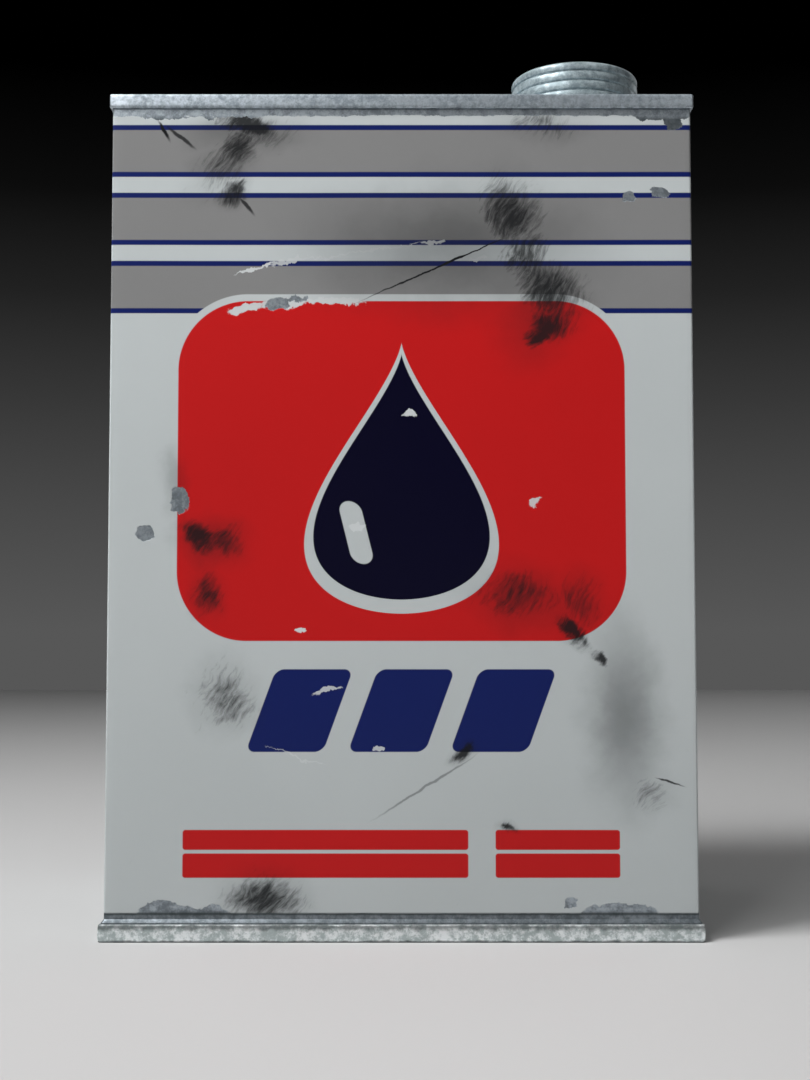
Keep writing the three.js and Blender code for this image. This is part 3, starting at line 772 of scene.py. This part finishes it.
def dented(sizes, point):
    """How far the body's wall is pushed in at a place: soft dents that fade out at corners, seams and lap."""
    half_x, half_y = TOP_HIGH.x - sizes.top_proud, TOP_HIGH.y - sizes.top_proud
    on_long_side = half_y - abs(point.y) < half_x - abs(point.x)
    from_corner = half_x - abs(point.x) if on_long_side else half_y - abs(point.y)
    fade = min(max(from_corner - 4 * MM, 0) / (22 * MM), 1)
    fade *= min(max(point.z - 9 * MM, 0) / (25 * MM), 1) * min(max(RIM_Z - 7 * MM - point.z, 0) / (25 * MM), 1)
    if point.x < 0 and not on_long_side:
        fade *= min(max(abs(point.y) - 6 * MM, 0) / (15 * MM), 1)
    wide = noise.noise(point / (62 * MM) + Vector((3.1, 7.7, 1.9)))
    small = noise.noise(point / (23 * MM) + Vector((9.4, 2.6, 5.3)))
    push = (0.55 + 0.8 * wide + 0.25 * small) * sizes.dent * fade
    inward = Vector((0, -math.copysign(1, point.y), 0)) if on_long_side else Vector((-math.copysign(1, point.x), 0, 0))
    return inward * min(max(push, 0), sizes.dent)


def body_mesh(sizes):
    """The wrapped body: one sheet, hooked into both seams, with the lap on its left side."""
    gap, sheet = FIT_GAP, sizes.sheet
    layer = sheet + gap
    edge = sheet + 0.32 * MM
    flare = sizes.bottom_proud - sizes.top_proud
    top_hook = RIM_Z - sizes.top_seam_height + sheet + 0.25 * MM
    bottom_hook = sizes.bottom_seam_height - sheet - 0.25 * MM
    rows = 84
    wall_low, wall_high = 6.3 * MM, RIM_Z - edge - sheet
    up = [(0, wall_low + (wall_high - wall_low) * i / rows) for i in range(rows + 1)]
    inner_low, inner_high = wall_low - sheet / 2, RIM_Z - edge
    down = [(-sheet, inner_high + (inner_low - inner_high) * i / rows) for i in range(rows + 1)]
    profile = [
        (flare + 2 * layer, edge),
        (flare + 2 * layer, bottom_hook),
        (flare + layer + gap, bottom_hook),
        (flare + layer + gap, edge + sheet),
        (flare, edge + sheet),
        (flare, 5.4 * MM - 0.15 * MM),
        (flare - 0.06 * MM, 5.4 * MM + 0.05 * MM),
        *up,
        (layer + gap, wall_high),
        (layer + gap, top_hook),
        (2 * layer, top_hook),
        (2 * layer, RIM_Z - edge),
        *down,
        (flare - sheet, 5.4 * MM - sheet / 2),
        (flare - sheet, edge),
    ]
    rings = [around(sizes, offset, z, 8, (84, 52)) for offset, z in profile]
    for (offset, z), ring in zip(profile, rings):
        if offset in (0, -sheet):
            for point in ring:
                point += dented(sizes, Vector((point.x, point.y, z)))
    mesh = skin("body", rings, joins_up=True)
    made = bmesh.new()
    made.from_mesh(mesh)
    left = -(TOP_HIGH.x - sizes.top_proud)
    strip = strip_mesh(
        Vector((left - sheet, -sizes.lap_width / 2, 6.35 * MM)),
        Vector((left + sheet / 2, sizes.lap_width / 2, RIM_Z - sizes.top_seam_height - 0.25 * MM)),
        0.08 * MM,
    )
    made.from_mesh(strip)
    made.to_mesh(mesh)
    made.free()
    return mesh


def strip_mesh(low, high, edge):
    """A block with softened edges, from its lowest and highest corners."""
    middle, half = (low + high) / 2, (high - low) / 2
    rings = []
    for inset, z in ((edge, low.z), (0, low.z + edge), (0, high.z - edge), (edge, high.z)):
        ring = rounded_ring(half.x - inset, half.y - inset, 2 * edge, z, 4)
        rings.append([point + Vector((middle.x, middle.y, 0)) for point in ring])
    return skin("strip", rings)


def end_rings(sizes, edge_z, inward, seam_height, flare):
    """Rings of a seamed end, from the middle of its underside out round the seam to the middle of its outside."""
    sheet, gap = sizes.sheet, FIT_GAP
    layer = sheet + gap
    wrap, chuck = 3 * layer, -(sheet + layer)
    radius, barrel = 0.4 * MM, 0.12 * MM if inward < 0 else 0.01 * MM
    hook = sheet + 0.32 * MM + sheet + 0.25 * MM
    sink, field = sizes.countersink, sizes.countersink - sizes.panel_step
    inner = chuck - 2.2 * MM
    underside = [
        (inner - 0.5 * MM, field + sheet),
        (inner, field + sheet),
        (chuck - 1.6 * MM, sink + sheet),
        (-layer, sink + sheet),
        (-layer, sheet),
        (wrap - sheet, sheet),
        (wrap - sheet, seam_height - sheet),
        (layer, seam_height - sheet),
        (layer, hook),
        (gap, hook),
        (gap, seam_height),
    ]
    waist = wrap - barrel
    outside = [
        *arc(waist - radius, seam_height - radius, radius, 90, 20),
        *[(waist + barrel * math.sin(math.pi * i / 8), seam_height - radius + (2 * radius - seam_height) * i / 8)
          for i in range(1, 8)],
        *arc(waist - radius, radius, radius, -10, -90),
        *arc(chuck + radius, radius, radius, 270, 180),
        *arc(chuck - radius, sink - radius, radius, 0, 90),
        (chuck - 1.5 * MM, sink),
        (chuck - 1.75 * MM, sink - 0.12 * MM),
        (inner + 0.12 * MM, field + 0.05 * MM),
        (inner - 0.1 * MM, field),
        (inner - 0.5 * MM, field),
    ]
    profile = [(flare + offset, edge_z - inward * depth) for offset, depth in underside + outside]
    return [around(sizes, offset, z, 8, (24, 16)) for offset, z in profile]


def end_mesh(sizes, top):
    """A seamed end. The top one has the neck's hole in it."""
    if not top:
        flare = sizes.bottom_proud - sizes.top_proud
        return skin("end", end_rings(sizes, BASE_LOW.z, -1, sizes.bottom_seam_height, flare))
    rings = end_rings(sizes, RIM_Z, 1, sizes.top_seam_height, 0)
    mesh = skin("end", rings, caps=(False, False))
    made = bmesh.new()
    made.from_mesh(mesh)
    points = list(made.verts)
    count = len(rings[0])
    hole = (NECK_HIGH.x - NECK_LOW.x) / 2 - 4.8 * MM
    walls = []
    for ring in (points[:count], points[-count:]):
        circle = [made.verts.new(p) for p in circle_ring(hole, ring[0].co.z)]
        steps = len(circle)
        edges = [made.edges.new((circle[i], circle[(i + 1) % steps])) for i in range(steps)]
        edges += [made.edges.get((ring[i], ring[(i + 1) % count])) for i in range(count)]
        bmesh.ops.triangle_fill(made, use_beauty=True, edges=edges)
        walls.append(circle)
    for i in range(steps):
        after = (i + 1) % steps
        made.faces.new((walls[0][i], walls[0][after], walls[1][after], walls[1][i]))
    made.to_mesh(mesh)
    made.free()
    return mesh


def sealing_mesh(sizes, edge_z, inward, flare):
    """The sealing compound in a seam, a soft flattened bead all the way round."""
    sheet = sizes.sheet
    shallow, deep = sheet + FIT_GAP, sheet + 0.32 * MM - FIT_GAP
    inside, outside = flare - sheet, flare + 2 * (sheet + FIT_GAP)
    soft = 0.06 * MM
    profile = [
        (inside + soft, shallow),
        (outside - soft, shallow),
        (outside, shallow + soft),
        (outside, deep - soft),
        (outside - soft, deep),
        (inside + soft, deep),
        (inside, deep - soft),
        (inside, shallow + soft),
    ]
    rings = [around(sizes, offset, edge_z - inward * depth, 8, (24, 16)) for offset, depth in profile]
    return skin("sealing", rings, joins_up=True)


def thread_rings(wall, tip, root_half, tip_half, start, turns, pitch):
    """Rings of a wall with a right-hand rolled thread on it, from the lowest to the highest.
    A tip inside the wall makes a ridge that points inwards. Both ends of the ridge sink into the wall."""
    steps, rows_per_pitch, run_out = 144, 22, 0.125
    rows = math.ceil((turns * pitch + 2 * root_half) / pitch * rows_per_pitch)
    rings = []
    for row in range(rows + 1):
        z = start - root_half + row * pitch / rows_per_pitch
        ring = []
        for i in range(steps):
            turn, height = i / steps, 0.0
            for lap in range(math.ceil(turns)):
                along = lap + turn
                flank = (root_half - abs(z - start - pitch * along)) / (root_half - tip_half)
                rise = min(along / run_out, (turns - along) / run_out, 1)
                flank = min(max(flank, 0), 1)
                height = max(height, flank * flank * (3 - 2 * flank) * max(rise, 0))
            angle = 2 * math.pi * turn
            radius = wall + (tip - wall) * height
            ring.append(Vector((AXIS.x + radius * math.cos(angle), AXIS.y + radius * math.sin(angle), z)))
        rings.append(ring)
    return rings


def neck_mesh(sizes):
    """The neck: a flanged sleeve through the top panel, with a rolled thread and a curled lip."""
    foot_z, lip_z = PANEL_Z, NECK_HIGH.z
    sheet = 0.5 * MM
    wall = (NECK_HIGH.x - NECK_LOW.x) / 2 - 4.9 * MM
    bore, flange = wall - sheet, wall + 4.9 * MM
    under = foot_z - sizes.sheet - FIT_GAP
    soft = 0.1 * MM
    foot = [
        (bore, under - sheet + soft),
        (bore + soft, under - sheet),
        (wall + 1.7 * MM - soft, under - sheet),
        (wall + 1.7 * MM, under - sheet + soft),
        (wall + 1.7 * MM, under - soft),
        (wall + 1.7 * MM - soft, under),
        (wall, under),
        (wall, foot_z + FIT_GAP),
        (flange, foot_z + FIT_GAP),
        *arc(flange - soft * 2, foot_z + FIT_GAP + sheet - soft * 2, soft * 2, 0, 90, 3),
        *arc(wall + 0.5 * MM, foot_z + FIT_GAP + sheet + 0.5 * MM, 0.5 * MM, 270, 180),
    ]
    thread = thread_rings(wall, wall + 1.25 * MM, 1.0 * MM, 0.4 * MM, lip_z - 10.8 * MM, 1.75, sizes.pitch)
    curl = wall + 0.3 * MM
    lip = [
        (wall, lip_z - 1.6 * MM),
        (curl - 0.05 * MM, lip_z - 1.3 * MM),
        (curl, lip_z - 1.1 * MM),
        *arc(curl - 0.4 * MM, lip_z - 0.4 * MM, 0.4 * MM, 0, 180),
        (bore, lip_z - 0.6 * MM),
    ]
    rings = [circle_ring(radius, z, 144) for radius, z in foot]
    rings += thread
    rings += [circle_ring(radius, z, 144) for radius, z in lip]
    return skin("neck", rings, joins_up=True)


def cap_mesh(sizes):
    """The screw cap: a drawn shell with rolled rings, a curled foot, a sunk top and a thread rolled inside."""
    top, bottom = CAP_HIGH.z, CAP_LOW.z
    radius = (CAP_HIGH.x - CAP_LOW.x) / 2
    groove, bore = radius - 0.55 * MM, radius - 0.95 * MM
    ceiling = top - 0.9 * MM
    start = NECK_HIGH.z - 10.8 * MM + sizes.pitch - 1.325 * MM - 0.6 * MM
    inside = thread_rings(bore, bore - 0.9 * MM, 0.9 * MM, 0.35 * MM, start, 1.25, sizes.pitch)
    curl = 0.65 * MM
    outside = [
        (bore, bottom + 0.15 * MM),
        *arc(radius - curl, bottom + curl, curl, -100, 75, 12),
        (groove + 0.1 * MM, bottom + 2 * curl + 0.06 * MM),
        (groove, bottom + 2 * curl + 0.25 * MM),
    ]
    half = 0.42 * MM
    for ring in reversed(range(4)):
        z = top - 2.8 * MM - ring * sizes.ring_pitch
        if ring < 3:
            outside += [(radius - 0.1 * MM, z - half), (groove + 0.12 * MM, z - 0.16 * MM)]
        outside += [(groove, z), (groove + 0.12 * MM, z + 0.16 * MM), (radius - 0.1 * MM, z + half)]
        if ring:
            low, high = z + half, z + sizes.ring_pitch - half
            for i in range(1, 8):
                crown = 0.1 * MM * (1 - math.sin(math.pi * i / 8))
                outside.append((radius - crown, low + (high - low) * i / 8))
    rim = radius - 3.2 * MM
    outside += [
        (radius, top - 1.7 * MM),
        *arc(radius - 1.2 * MM, top - 1.2 * MM, 1.2 * MM, 0, 90, 10),
        *arc(rim + 0.2 * MM, top - 0.25 * MM, 0.25 * MM, 90, 150, 4),
        (rim - 0.3 * MM, top - 0.44 * MM),
        (rim - 0.6 * MM, top - 0.5 * MM),
        (rim - 6 * MM, top - 0.5 * MM),
    ]
    rings = [circle_ring(bore - 6 * MM, ceiling, 144), circle_ring(bore - 0.4 * MM, ceiling, 144)]
    rings += [circle_ring(r, z, 144) for r, z in arc(bore - 0.4 * MM, ceiling - 0.4 * MM, 0.4 * MM, 80, 0, 4)]
    rings += list(reversed(inside))
    rings += [circle_ring(r, z, 144) for r, z in outside]
    return skin("cap", rings)


def liner_mesh(low, high, soft):
    """A liner disc with soft edges."""
    radius = (high.x - low.x) / 2
    profile = [
        (0, low.z),
        (radius * 0.9, low.z),
        (radius - soft, low.z),
        (radius, low.z + soft),
        (radius, high.z - soft),
        (radius - soft, high.z),
        (radius * 0.9, high.z),
        (0, high.z),
    ]
    return turned("liner", profile, 96)


def saddle_mesh(sizes, low, high):
    """A saddle of strip steel over the handle's wire, with a flat foot on both sides."""
    inside = sizes.wire / 2 + 0.35 * MM
    sheet = 0.6 * MM
    outside = inside + sheet
    foot, axis = low.z, high.z - outside
    end = high.y
    soft = 0.12 * MM
    outline = [
        (-end, foot + soft),
        (-end + soft, foot),
        (-inside - 0.3 * MM, foot),
        *[(y, z) for y, z in arc(0, axis, inside, 180, 0, 20)],
        (inside + 0.3 * MM, foot),
        (end - soft, foot),
        (end, foot + soft),
        (end, foot + sheet - soft),
        (end - soft, foot + sheet),
        *arc(outside + 0.4 * MM, foot + sheet + 0.4 * MM, 0.4 * MM, 270, 180, 4),
        *arc(0, axis, outside, 0, 180, 20),
        *arc(-outside - 0.4 * MM, foot + sheet + 0.4 * MM, 0.4 * MM, 0, -90, 4),
        (-end + soft, foot + sheet),
        (-end, foot + sheet - soft),
    ]
    return skin("saddle", [[Vector((x, y, z)) for y, z in outline] for x in (low.x, high.x)])


def pad_mesh(low, high, seed):
    """A thin flooded pad of solder under a saddle, with an uneven edge."""
    chance = random.Random(seed)
    middle, half = (low + high) / 2, (high - low) / 2
    wander = [chance.uniform(-0.25, 0) * MM for _ in range(200)]
    rings = []
    for inset, z in ((0, low.z), (0, low.z + 0.05 * MM), (0.35 * MM, high.z - 0.01 * MM), (0.8 * MM, high.z)):
        ring = rounded_ring(half.x - inset - 0.3 * MM, half.y - inset - 0.3 * MM, 1.6 * MM, z, 8, (18, 12))
        for i, point in enumerate(ring):
            out = Vector((point.x, point.y, 0)).normalized()
            point += out * (wander[i % 200] + 0.25 * MM)
        rings.append([point + Vector((middle.x, middle.y, 0)) for point in ring])
    return skin("pad", rings)


def bead_tree():
    """Grows a lumpy bead of solder along a path."""
    tree, given = new_tree(
        "Solder bead",
        (("Width", "NodeSocketFloat"), ("Lumps", "NodeSocketFloat"), ("Closed", "NodeSocketBool"),
         ("Seed", "NodeSocketFloat"), ("Material", "NodeSocketMaterial")),
    )
    path = put(tree, "GeometryNodeMeshToCurve", {"Mesh": given["Geometry"]})
    path = put(
        tree, "GeometryNodeResampleCurve", {"Curve": path, "Length": 0.5 * MM}, mode="LENGTH"
    )
    half = put(tree, "ShaderNodeMath", {0: given["Width"], 1: 0.5}, operation="MULTIPLY")
    section = put(tree, "GeometryNodeCurvePrimitiveCircle", {"Resolution": 10, "Radius": half}, mode="RADIUS")
    bead = put(tree, "GeometryNodeCurveToMesh", {"Curve": path, "Profile Curve": section, "Fill Caps": True})
    where = put(tree, "GeometryNodeInputPosition")
    where = put(tree, "ShaderNodeVectorMath", {0: where, 1: (1 / MM,) * 3}, operation="MULTIPLY")
    lumps = put(
        tree,
        "ShaderNodeTexNoise",
        {"Vector": where, "W": given["Seed"], "Scale": 0.45, "Detail": 2.0},
        noise_dimensions="4D",
    )
    lumps = put(tree, "ShaderNodeMath", {0: lumps, 1: 0.5}, operation="SUBTRACT")
    lumps = put(tree, "ShaderNodeMath", {0: lumps, 1: given["Lumps"]}, operation="MULTIPLY")
    out = put(tree, "GeometryNodeInputNormal")
    push = put(tree, "ShaderNodeVectorMath", {0: out, "Scale": lumps}, operation="SCALE")
    bead = put(tree, "GeometryNodeSetPosition", {"Geometry": bead, "Offset": push})
    end_tree(tree, bead, given["Material"])
    return tree


def wire_tree():
    """Bends round wire along a path of straight runs."""
    tree, given = new_tree(
        "Bent wire",
        (("Wire", "NodeSocketFloat"), ("Bend", "NodeSocketFloat"), ("Material", "NodeSocketMaterial")),
    )
    path = put(tree, "GeometryNodeMeshToCurve", {"Mesh": given["Geometry"]})
    path = put(
        tree,
        "GeometryNodeFilletCurve",
        {"Curve": path, "Radius": given["Bend"], "Count": 14, "Limit Radius": True},
        mode="POLY",
    )
    half = put(tree, "ShaderNodeMath", {0: given["Wire"], 1: 0.5}, operation="MULTIPLY")
    section = put(tree, "GeometryNodeCurvePrimitiveCircle", {"Resolution": 32, "Radius": half}, mode="RADIUS")
    wire = put(tree, "GeometryNodeCurveToMesh", {"Curve": path, "Profile Curve": section, "Fill Caps": True})
    end_tree(tree, wire, given["Material"])
    return tree


# ---------------------------------------------------------------- operators


class OILCAN_OT_body(bpy.types.Operator):
    """Build the printed body with its side lap"""

    bl_idname = "oilcan.body"
    bl_label = "Body"

    def execute(self, context):
        sizes, look = context.scene.oil_can_sizes, context.scene.oil_can_print
        place("printed_body", body_mesh(sizes), printed_tinplate("Lithographed tinplate", look), "can", "litho_tinplate", ["body_shell"])
        return {"FINISHED"}


class OILCAN_OT_ends(bpy.types.Operator):
    """Build both seamed ends and the sealing compound in their seams"""

    bl_idname = "oilcan.ends"
    bl_label = "Ends"

    def execute(self, context):
        sizes = context.scene.oil_can_sizes
        flare = sizes.bottom_proud - sizes.top_proud
        bright = tinned_steel("Tinned steel, top end", "#8f99a1", "#c8d2da", 1.8, amount=0.34)
        dull = tinned_steel(
            "Tinned steel, bottom end",
            "#b6c1c1",
            "#f6fbfc",
            1.9,
            amount=0.16,
            # Painted shade: a painted dark reflection over the upper half of the bottom seam, and a painted contact
            # shadow along its foot.
            bands=((3.3, 5.4, 0.75), (-0.4, 0.7, 0.8)),
            contrast=1.3,
        )
        rubber = plain_stuff("Sealing compound", "#4d2a22", "#7a463a", 2.0, 0.75)
        place("seamed_top", end_mesh(sizes, True), bright, "can", "tinned_steel", ["top_end"])
        place("seamed_bottom", end_mesh(sizes, False), dull, "can", "tinned_steel", ["bottom_end"])
        top = sealing_mesh(sizes, RIM_Z, 1, 0)
        bottom = sealing_mesh(sizes, BASE_LOW.z, -1, flare)
        place("top_sealing", top, rubber, "can", "seam_compound", ["top_seam_compound"])
        place("bottom_sealing", bottom, rubber, "can", "seam_compound", ["bottom_seam_compound"])
        return {"FINISHED"}


class OILCAN_OT_neck(bpy.types.Operator):
    """Build the threaded neck"""

    bl_idname = "oilcan.neck"
    bl_label = "Neck"

    def execute(self, context):
        sizes = context.scene.oil_can_sizes
        steel = tinned_steel("Tinned steel, neck", "#7b848a", "#c9d2d8", amount=0.4)
        place("threaded_neck", neck_mesh(sizes), steel, "can", "tinned_steel", ["neck"])
        return {"FINISHED"}


class OILCAN_OT_cap(bpy.types.Operator):
    """Build the screw cap with its liner"""

    bl_idname = "oilcan.cap"
    bl_label = "Cap"

    def execute(self, context):
        sizes = context.scene.oil_can_sizes
        steel = tinned_steel("Tinned steel, cap", "#7d8b90", "#b2c0c5", 2.2, amount=0.25, shine=0.45)
        board = plain_stuff("Waxed pulp board", "#8d7350", "#c2a67c", 1.2, 0.7)
        foil = plain_stuff("Embossed foil", "#b9bdc1", "#e1e4e6", 1.5, 0.32, metallic=1.0)
        place("screw_cap", cap_mesh(sizes), steel, "cap", "tinned_steel", ["cap_shell"])
        low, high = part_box("cap_liner_board")
        place("liner_board", liner_mesh(low, high, 0.15 * MM), board, "liner", "liner_board", ["cap_liner_board"])
        low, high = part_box("cap_liner_foil")
        place("liner_foil", liner_mesh(low, high, 0.03 * MM), foil, "liner", "liner_foil", ["cap_liner_foil"])
        return {"FINISHED"}


class OILCAN_OT_handle(bpy.types.Operator):
    """Build the folding wire handle and its two saddles"""

    bl_idname = "oilcan.handle"
    bl_label = "Handle"

    def execute(self, context):
        sizes = context.scene.oil_can_sizes
        wire = drawn_wire("Galvanised wire")
        half = sizes.wire / 2
        left, right = BAIL_LOW.x + half, BAIL_HIGH.x - half
        hinge, reach = BAIL_LOW.y + half, BAIL_HIGH.y - half
        z = (BAIL_LOW.z + BAIL_HIGH.z) / 2
        pin = sizes.bend + 11.8 * MM
        stops = [
            (left + pin, hinge, z),
            (left, hinge, z),
            (left, reach, z),
            (right, reach, z),
            (right, hinge, z),
            (right - pin, hinge, z),
        ]
        path = polyline("handle path", stops)
        mesh = grown(path, wire_tree(), {"Wire": sizes.wire, "Bend": sizes.bend, "Material": wire})
        place("wire_handle", mesh, wire, "handle", "handle_wire", ["handle_bail"])
        steel = tinned_steel("Tinned steel, saddles", "#7b848a", "#c2cbd1", amount=0.4)
        for side in ("left", "right"):
            low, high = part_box(f"handle_ear_{side}")
            mesh = saddle_mesh(sizes, low, high)
            place(f"saddle_{side}", mesh, steel, "can", "tinned_steel", [f"handle_ear_{side}"])
        return {"FINISHED"}


class OILCAN_OT_solder(bpy.types.Operator):
    """Build the solder down the side seam, round the neck and under the saddles"""

    bl_idname = "oilcan.solder"
    bl_label = "Solder"

    def execute(self, context):
        tin = soft_solder("Soft solder")
        tree = bead_tree()
        for seed, side in enumerate(("left", "right")):
            low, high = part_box(f"ear_solder_{side}")
            mesh = pad_mesh(low, high, 20 + seed)
            place(f"saddle_pad_{side}", mesh, tin, "can", "solder", [f"ear_solder_{side}"])
        low, high = SIDE_SOLDER_LOW, SIDE_SOLDER_HIGH
        x, y = high.x, high.y - 0.35 * MM
        path = polyline("seam path", [(x, y, low.z + 0.5 * MM), (x, y, high.z - 0.5 * MM)])
        mesh = grown(path, tree, {"Width": 0.5 * MM, "Lumps": 0.35 * MM, "Seed": 1.0, "Material": tin})
        place("side_bead", mesh, tin, "can", "solder", ["side_seam_solder"], sharp=180)
        low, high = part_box("neck_solder")
        radius = (high.x - low.x) / 2 - 0.7 * MM
        path = polyline("neck path", circle_ring(radius, (low.z + high.z) / 2, 96), closed=True)
        mesh = grown(path, tree, {"Width": 0.55 * MM, "Lumps": 0.3 * MM, "Seed": 2.0, "Material": tin})
        place("neck_bead", mesh, tin, "can", "solder", ["neck_solder"], sharp=180)
        return {"FINISHED"}


# ---------------------------------------------------------------- stage


def softbox(name, place_at, aim, width, height, power, spread=180):
    """A soft rectangular lamp. A narrow spread in degrees lets it fall off away from where it aims."""
    light = bpy.data.lights.new(name, "AREA")
    light.spread = math.radians(spread)
    light.shape = "RECTANGLE"
    light.size, light.size_y = width, height
    light.energy = power
    lamp = bpy.data.objects.new(name, light)
    lamp.location = place_at
    lamp.rotation_mode = "QUATERNION"
    lamp.rotation_quaternion = (Vector(aim) - Vector(place_at)).to_track_quat("-Z", "Y")
    bpy.context.scene.collection.objects.link(lamp)
    return lamp


def studio_backdrop(scene):
    """A plain backdrop that is pale grey at the floor's edge and falls off to black above."""
    world = bpy.data.worlds.new("Backdrop")
    scene.world = world
    world.use_nodes = True
    tree = world.node_tree
    tree.nodes.clear()
    look = put(tree, "ShaderNodeTexCoord", out="Generated")
    height = put(tree, "ShaderNodeSeparateXYZ", {0: look}, out="Z")
    ramp = tree.nodes.new("ShaderNodeValToRGB")
    tree.links.new(height, ramp.inputs["Fac"])
    stops = ((0.0, 0.095), (0.151, 0.037), (0.217, 0.015), (0.279, 0.0036), (0.35, 0.0))
    for spot, value in stops[1:-1]:
        ramp.color_ramp.elements.new(spot).color = (value, value, value, 1)
    ends = ramp.color_ramp.elements
    ends[0].position, ends[0].color = stops[0][0], (stops[0][1],) * 3 + (1,)
    ends[-1].position, ends[-1].color = stops[-1][0], (stops[-1][1],) * 3 + (1,)
    glow = put(tree, "ShaderNodeBackground", {"Color": ramp.outputs["Color"]})
    put(tree, "ShaderNodeOutputWorld", {"Surface": glow})


def studio_floor():
    """A plain pale floor with square edges."""
    material, tree = new_material("Matt grey floor")
    mm = millimetres(tree)
    cloud = put(tree, "ShaderNodeTexNoise", {"Vector": mm, "Scale": 1 / 300, "Detail": 3.0})
    tone = put(
        tree, "ShaderNodeMix", {"Factor": cloud, "A": srgb("#bdbdbd"), "B": srgb("#c1c1c1")}, out="Result", data_type="RGBA"
    )
    finish_material(tree, tone, None, None, None, Roughness=0.85, Specular_IOR_Level=0.2)
    mesh = bpy.data.meshes.new("floor")
    near, far, side, thick = -2.2, 1.7, 4.0, 0.01
    low, high = Vector((-side, near, -thick)), Vector((side, far, 0))
    corners = [(x, y, z) for z in (low.z, high.z) for x, y in
               ((low.x, low.y), (high.x, low.y), (high.x, high.y), (low.x, high.y))]
    faces = [(3, 2, 1, 0), (4, 5, 6, 7), (0, 1, 5, 4), (1, 2, 6, 5), (2, 3, 7, 6), (3, 0, 4, 7)]
    mesh.from_pydata(corners, [], faces)
    mesh.materials.append(material)
    floor = bpy.data.objects.new("studio_floor", mesh)
    bpy.context.scene.collection.objects.link(floor)


class OILCAN_OT_stage(bpy.types.Operator):
    """Build the floor, the backdrop, the lamps and the camera"""

    bl_idname = "oilcan.stage"
    bl_label = "Stage"

    def execute(self, context):
        scene = context.scene
        scene.view_settings.view_transform = "Standard"
        studio_floor()
        studio_backdrop(scene)
        aim, key_place = (0, 0, 0.12), (-0.81, -0.48, 1.29)
        lamps = [
            softbox("key", key_place, aim, 0.55, 0.55, 8.1),
            softbox("key_centre", key_place, (0.3, 0.05, 0.03), 0.55, 0.55, 3.6, spread=85),
            softbox("top_card", (-0.48, -0.73, 0.78), (0, 0, 0.24), 0.5, 0.5, 1.7, spread=110),
            softbox("right_card", (0.55, -0.75, 0.8), (0.05, 0, 0.25), 0.5, 0.5, 0.35, spread=110),
            softbox("overhead", (0, 0.1, 1.8), aim, 2.0, 2.0, 6.4),
            softbox("back_right", (1.2, 1.3, 0.9), aim, 1.0, 1.0, 2.0),
            softbox("back_left", (-1.3, 1.2, 0.8), aim, 1.0, 1.0, 1.4),
        ]
        camera = bpy.data.cameras.new("camera")
        camera.lens, camera.sensor_width = 50, 36
        camera.clip_start = 0.01
        eye = bpy.data.objects.new("camera", camera)
        eye.location = (0.0010, -0.4813, 0.0879)
        eye.rotation_euler = (math.radians(93.4), 0, 0)
        scene.collection.objects.link(eye)
        scene.camera = eye
        return {"FINISHED"}


# ---------------------------------------------------------------- panel and start

OPERATORS = (
    OILCAN_OT_body,
    OILCAN_OT_ends,
    OILCAN_OT_neck,
    OILCAN_OT_cap,
    OILCAN_OT_handle,
    OILCAN_OT_solder,
    OILCAN_OT_stage,
)


class OILCAN_PT_panel(bpy.types.Panel):
    """Lists the pieces of the oil can"""

    bl_idname = "OILCAN_PT_panel"
    bl_label = "Oil Can"
    bl_space_type = "VIEW_3D"
    bl_region_type = "UI"
    bl_category = "Oil Can"

    def draw(self, context):
        for made in OPERATORS:
            self.layout.operator(made.bl_idname)
        for settings in (context.scene.oil_can_sizes, context.scene.oil_can_print):
            box = self.layout.box()
            for name in settings.__annotations__:
                box.prop(settings, name)


CLASSES = (OilCanSizes, OilCanPrint, *OPERATORS, OILCAN_PT_panel)


def register():
    for made in CLASSES:
        bpy.utils.register_class(made)
    bpy.types.Scene.oil_can_sizes = bpy.props.PointerProperty(type=OilCanSizes)
    bpy.types.Scene.oil_can_print = bpy.props.PointerProperty(type=OilCanPrint)


def unregister():
    del bpy.types.Scene.oil_can_print
    del bpy.types.Scene.oil_can_sizes
    for made in reversed(CLASSES):
        bpy.utils.unregister_class(made)


def main():
    register()
    bpy.ops.oilcan.body()
    bpy.ops.oilcan.ends()
    bpy.ops.oilcan.neck()
    bpy.ops.oilcan.cap()
    bpy.ops.oilcan.handle()
    bpy.ops.oilcan.solder()
    bpy.ops.oilcan.stage()


if __name__ == "__main__":
    main()
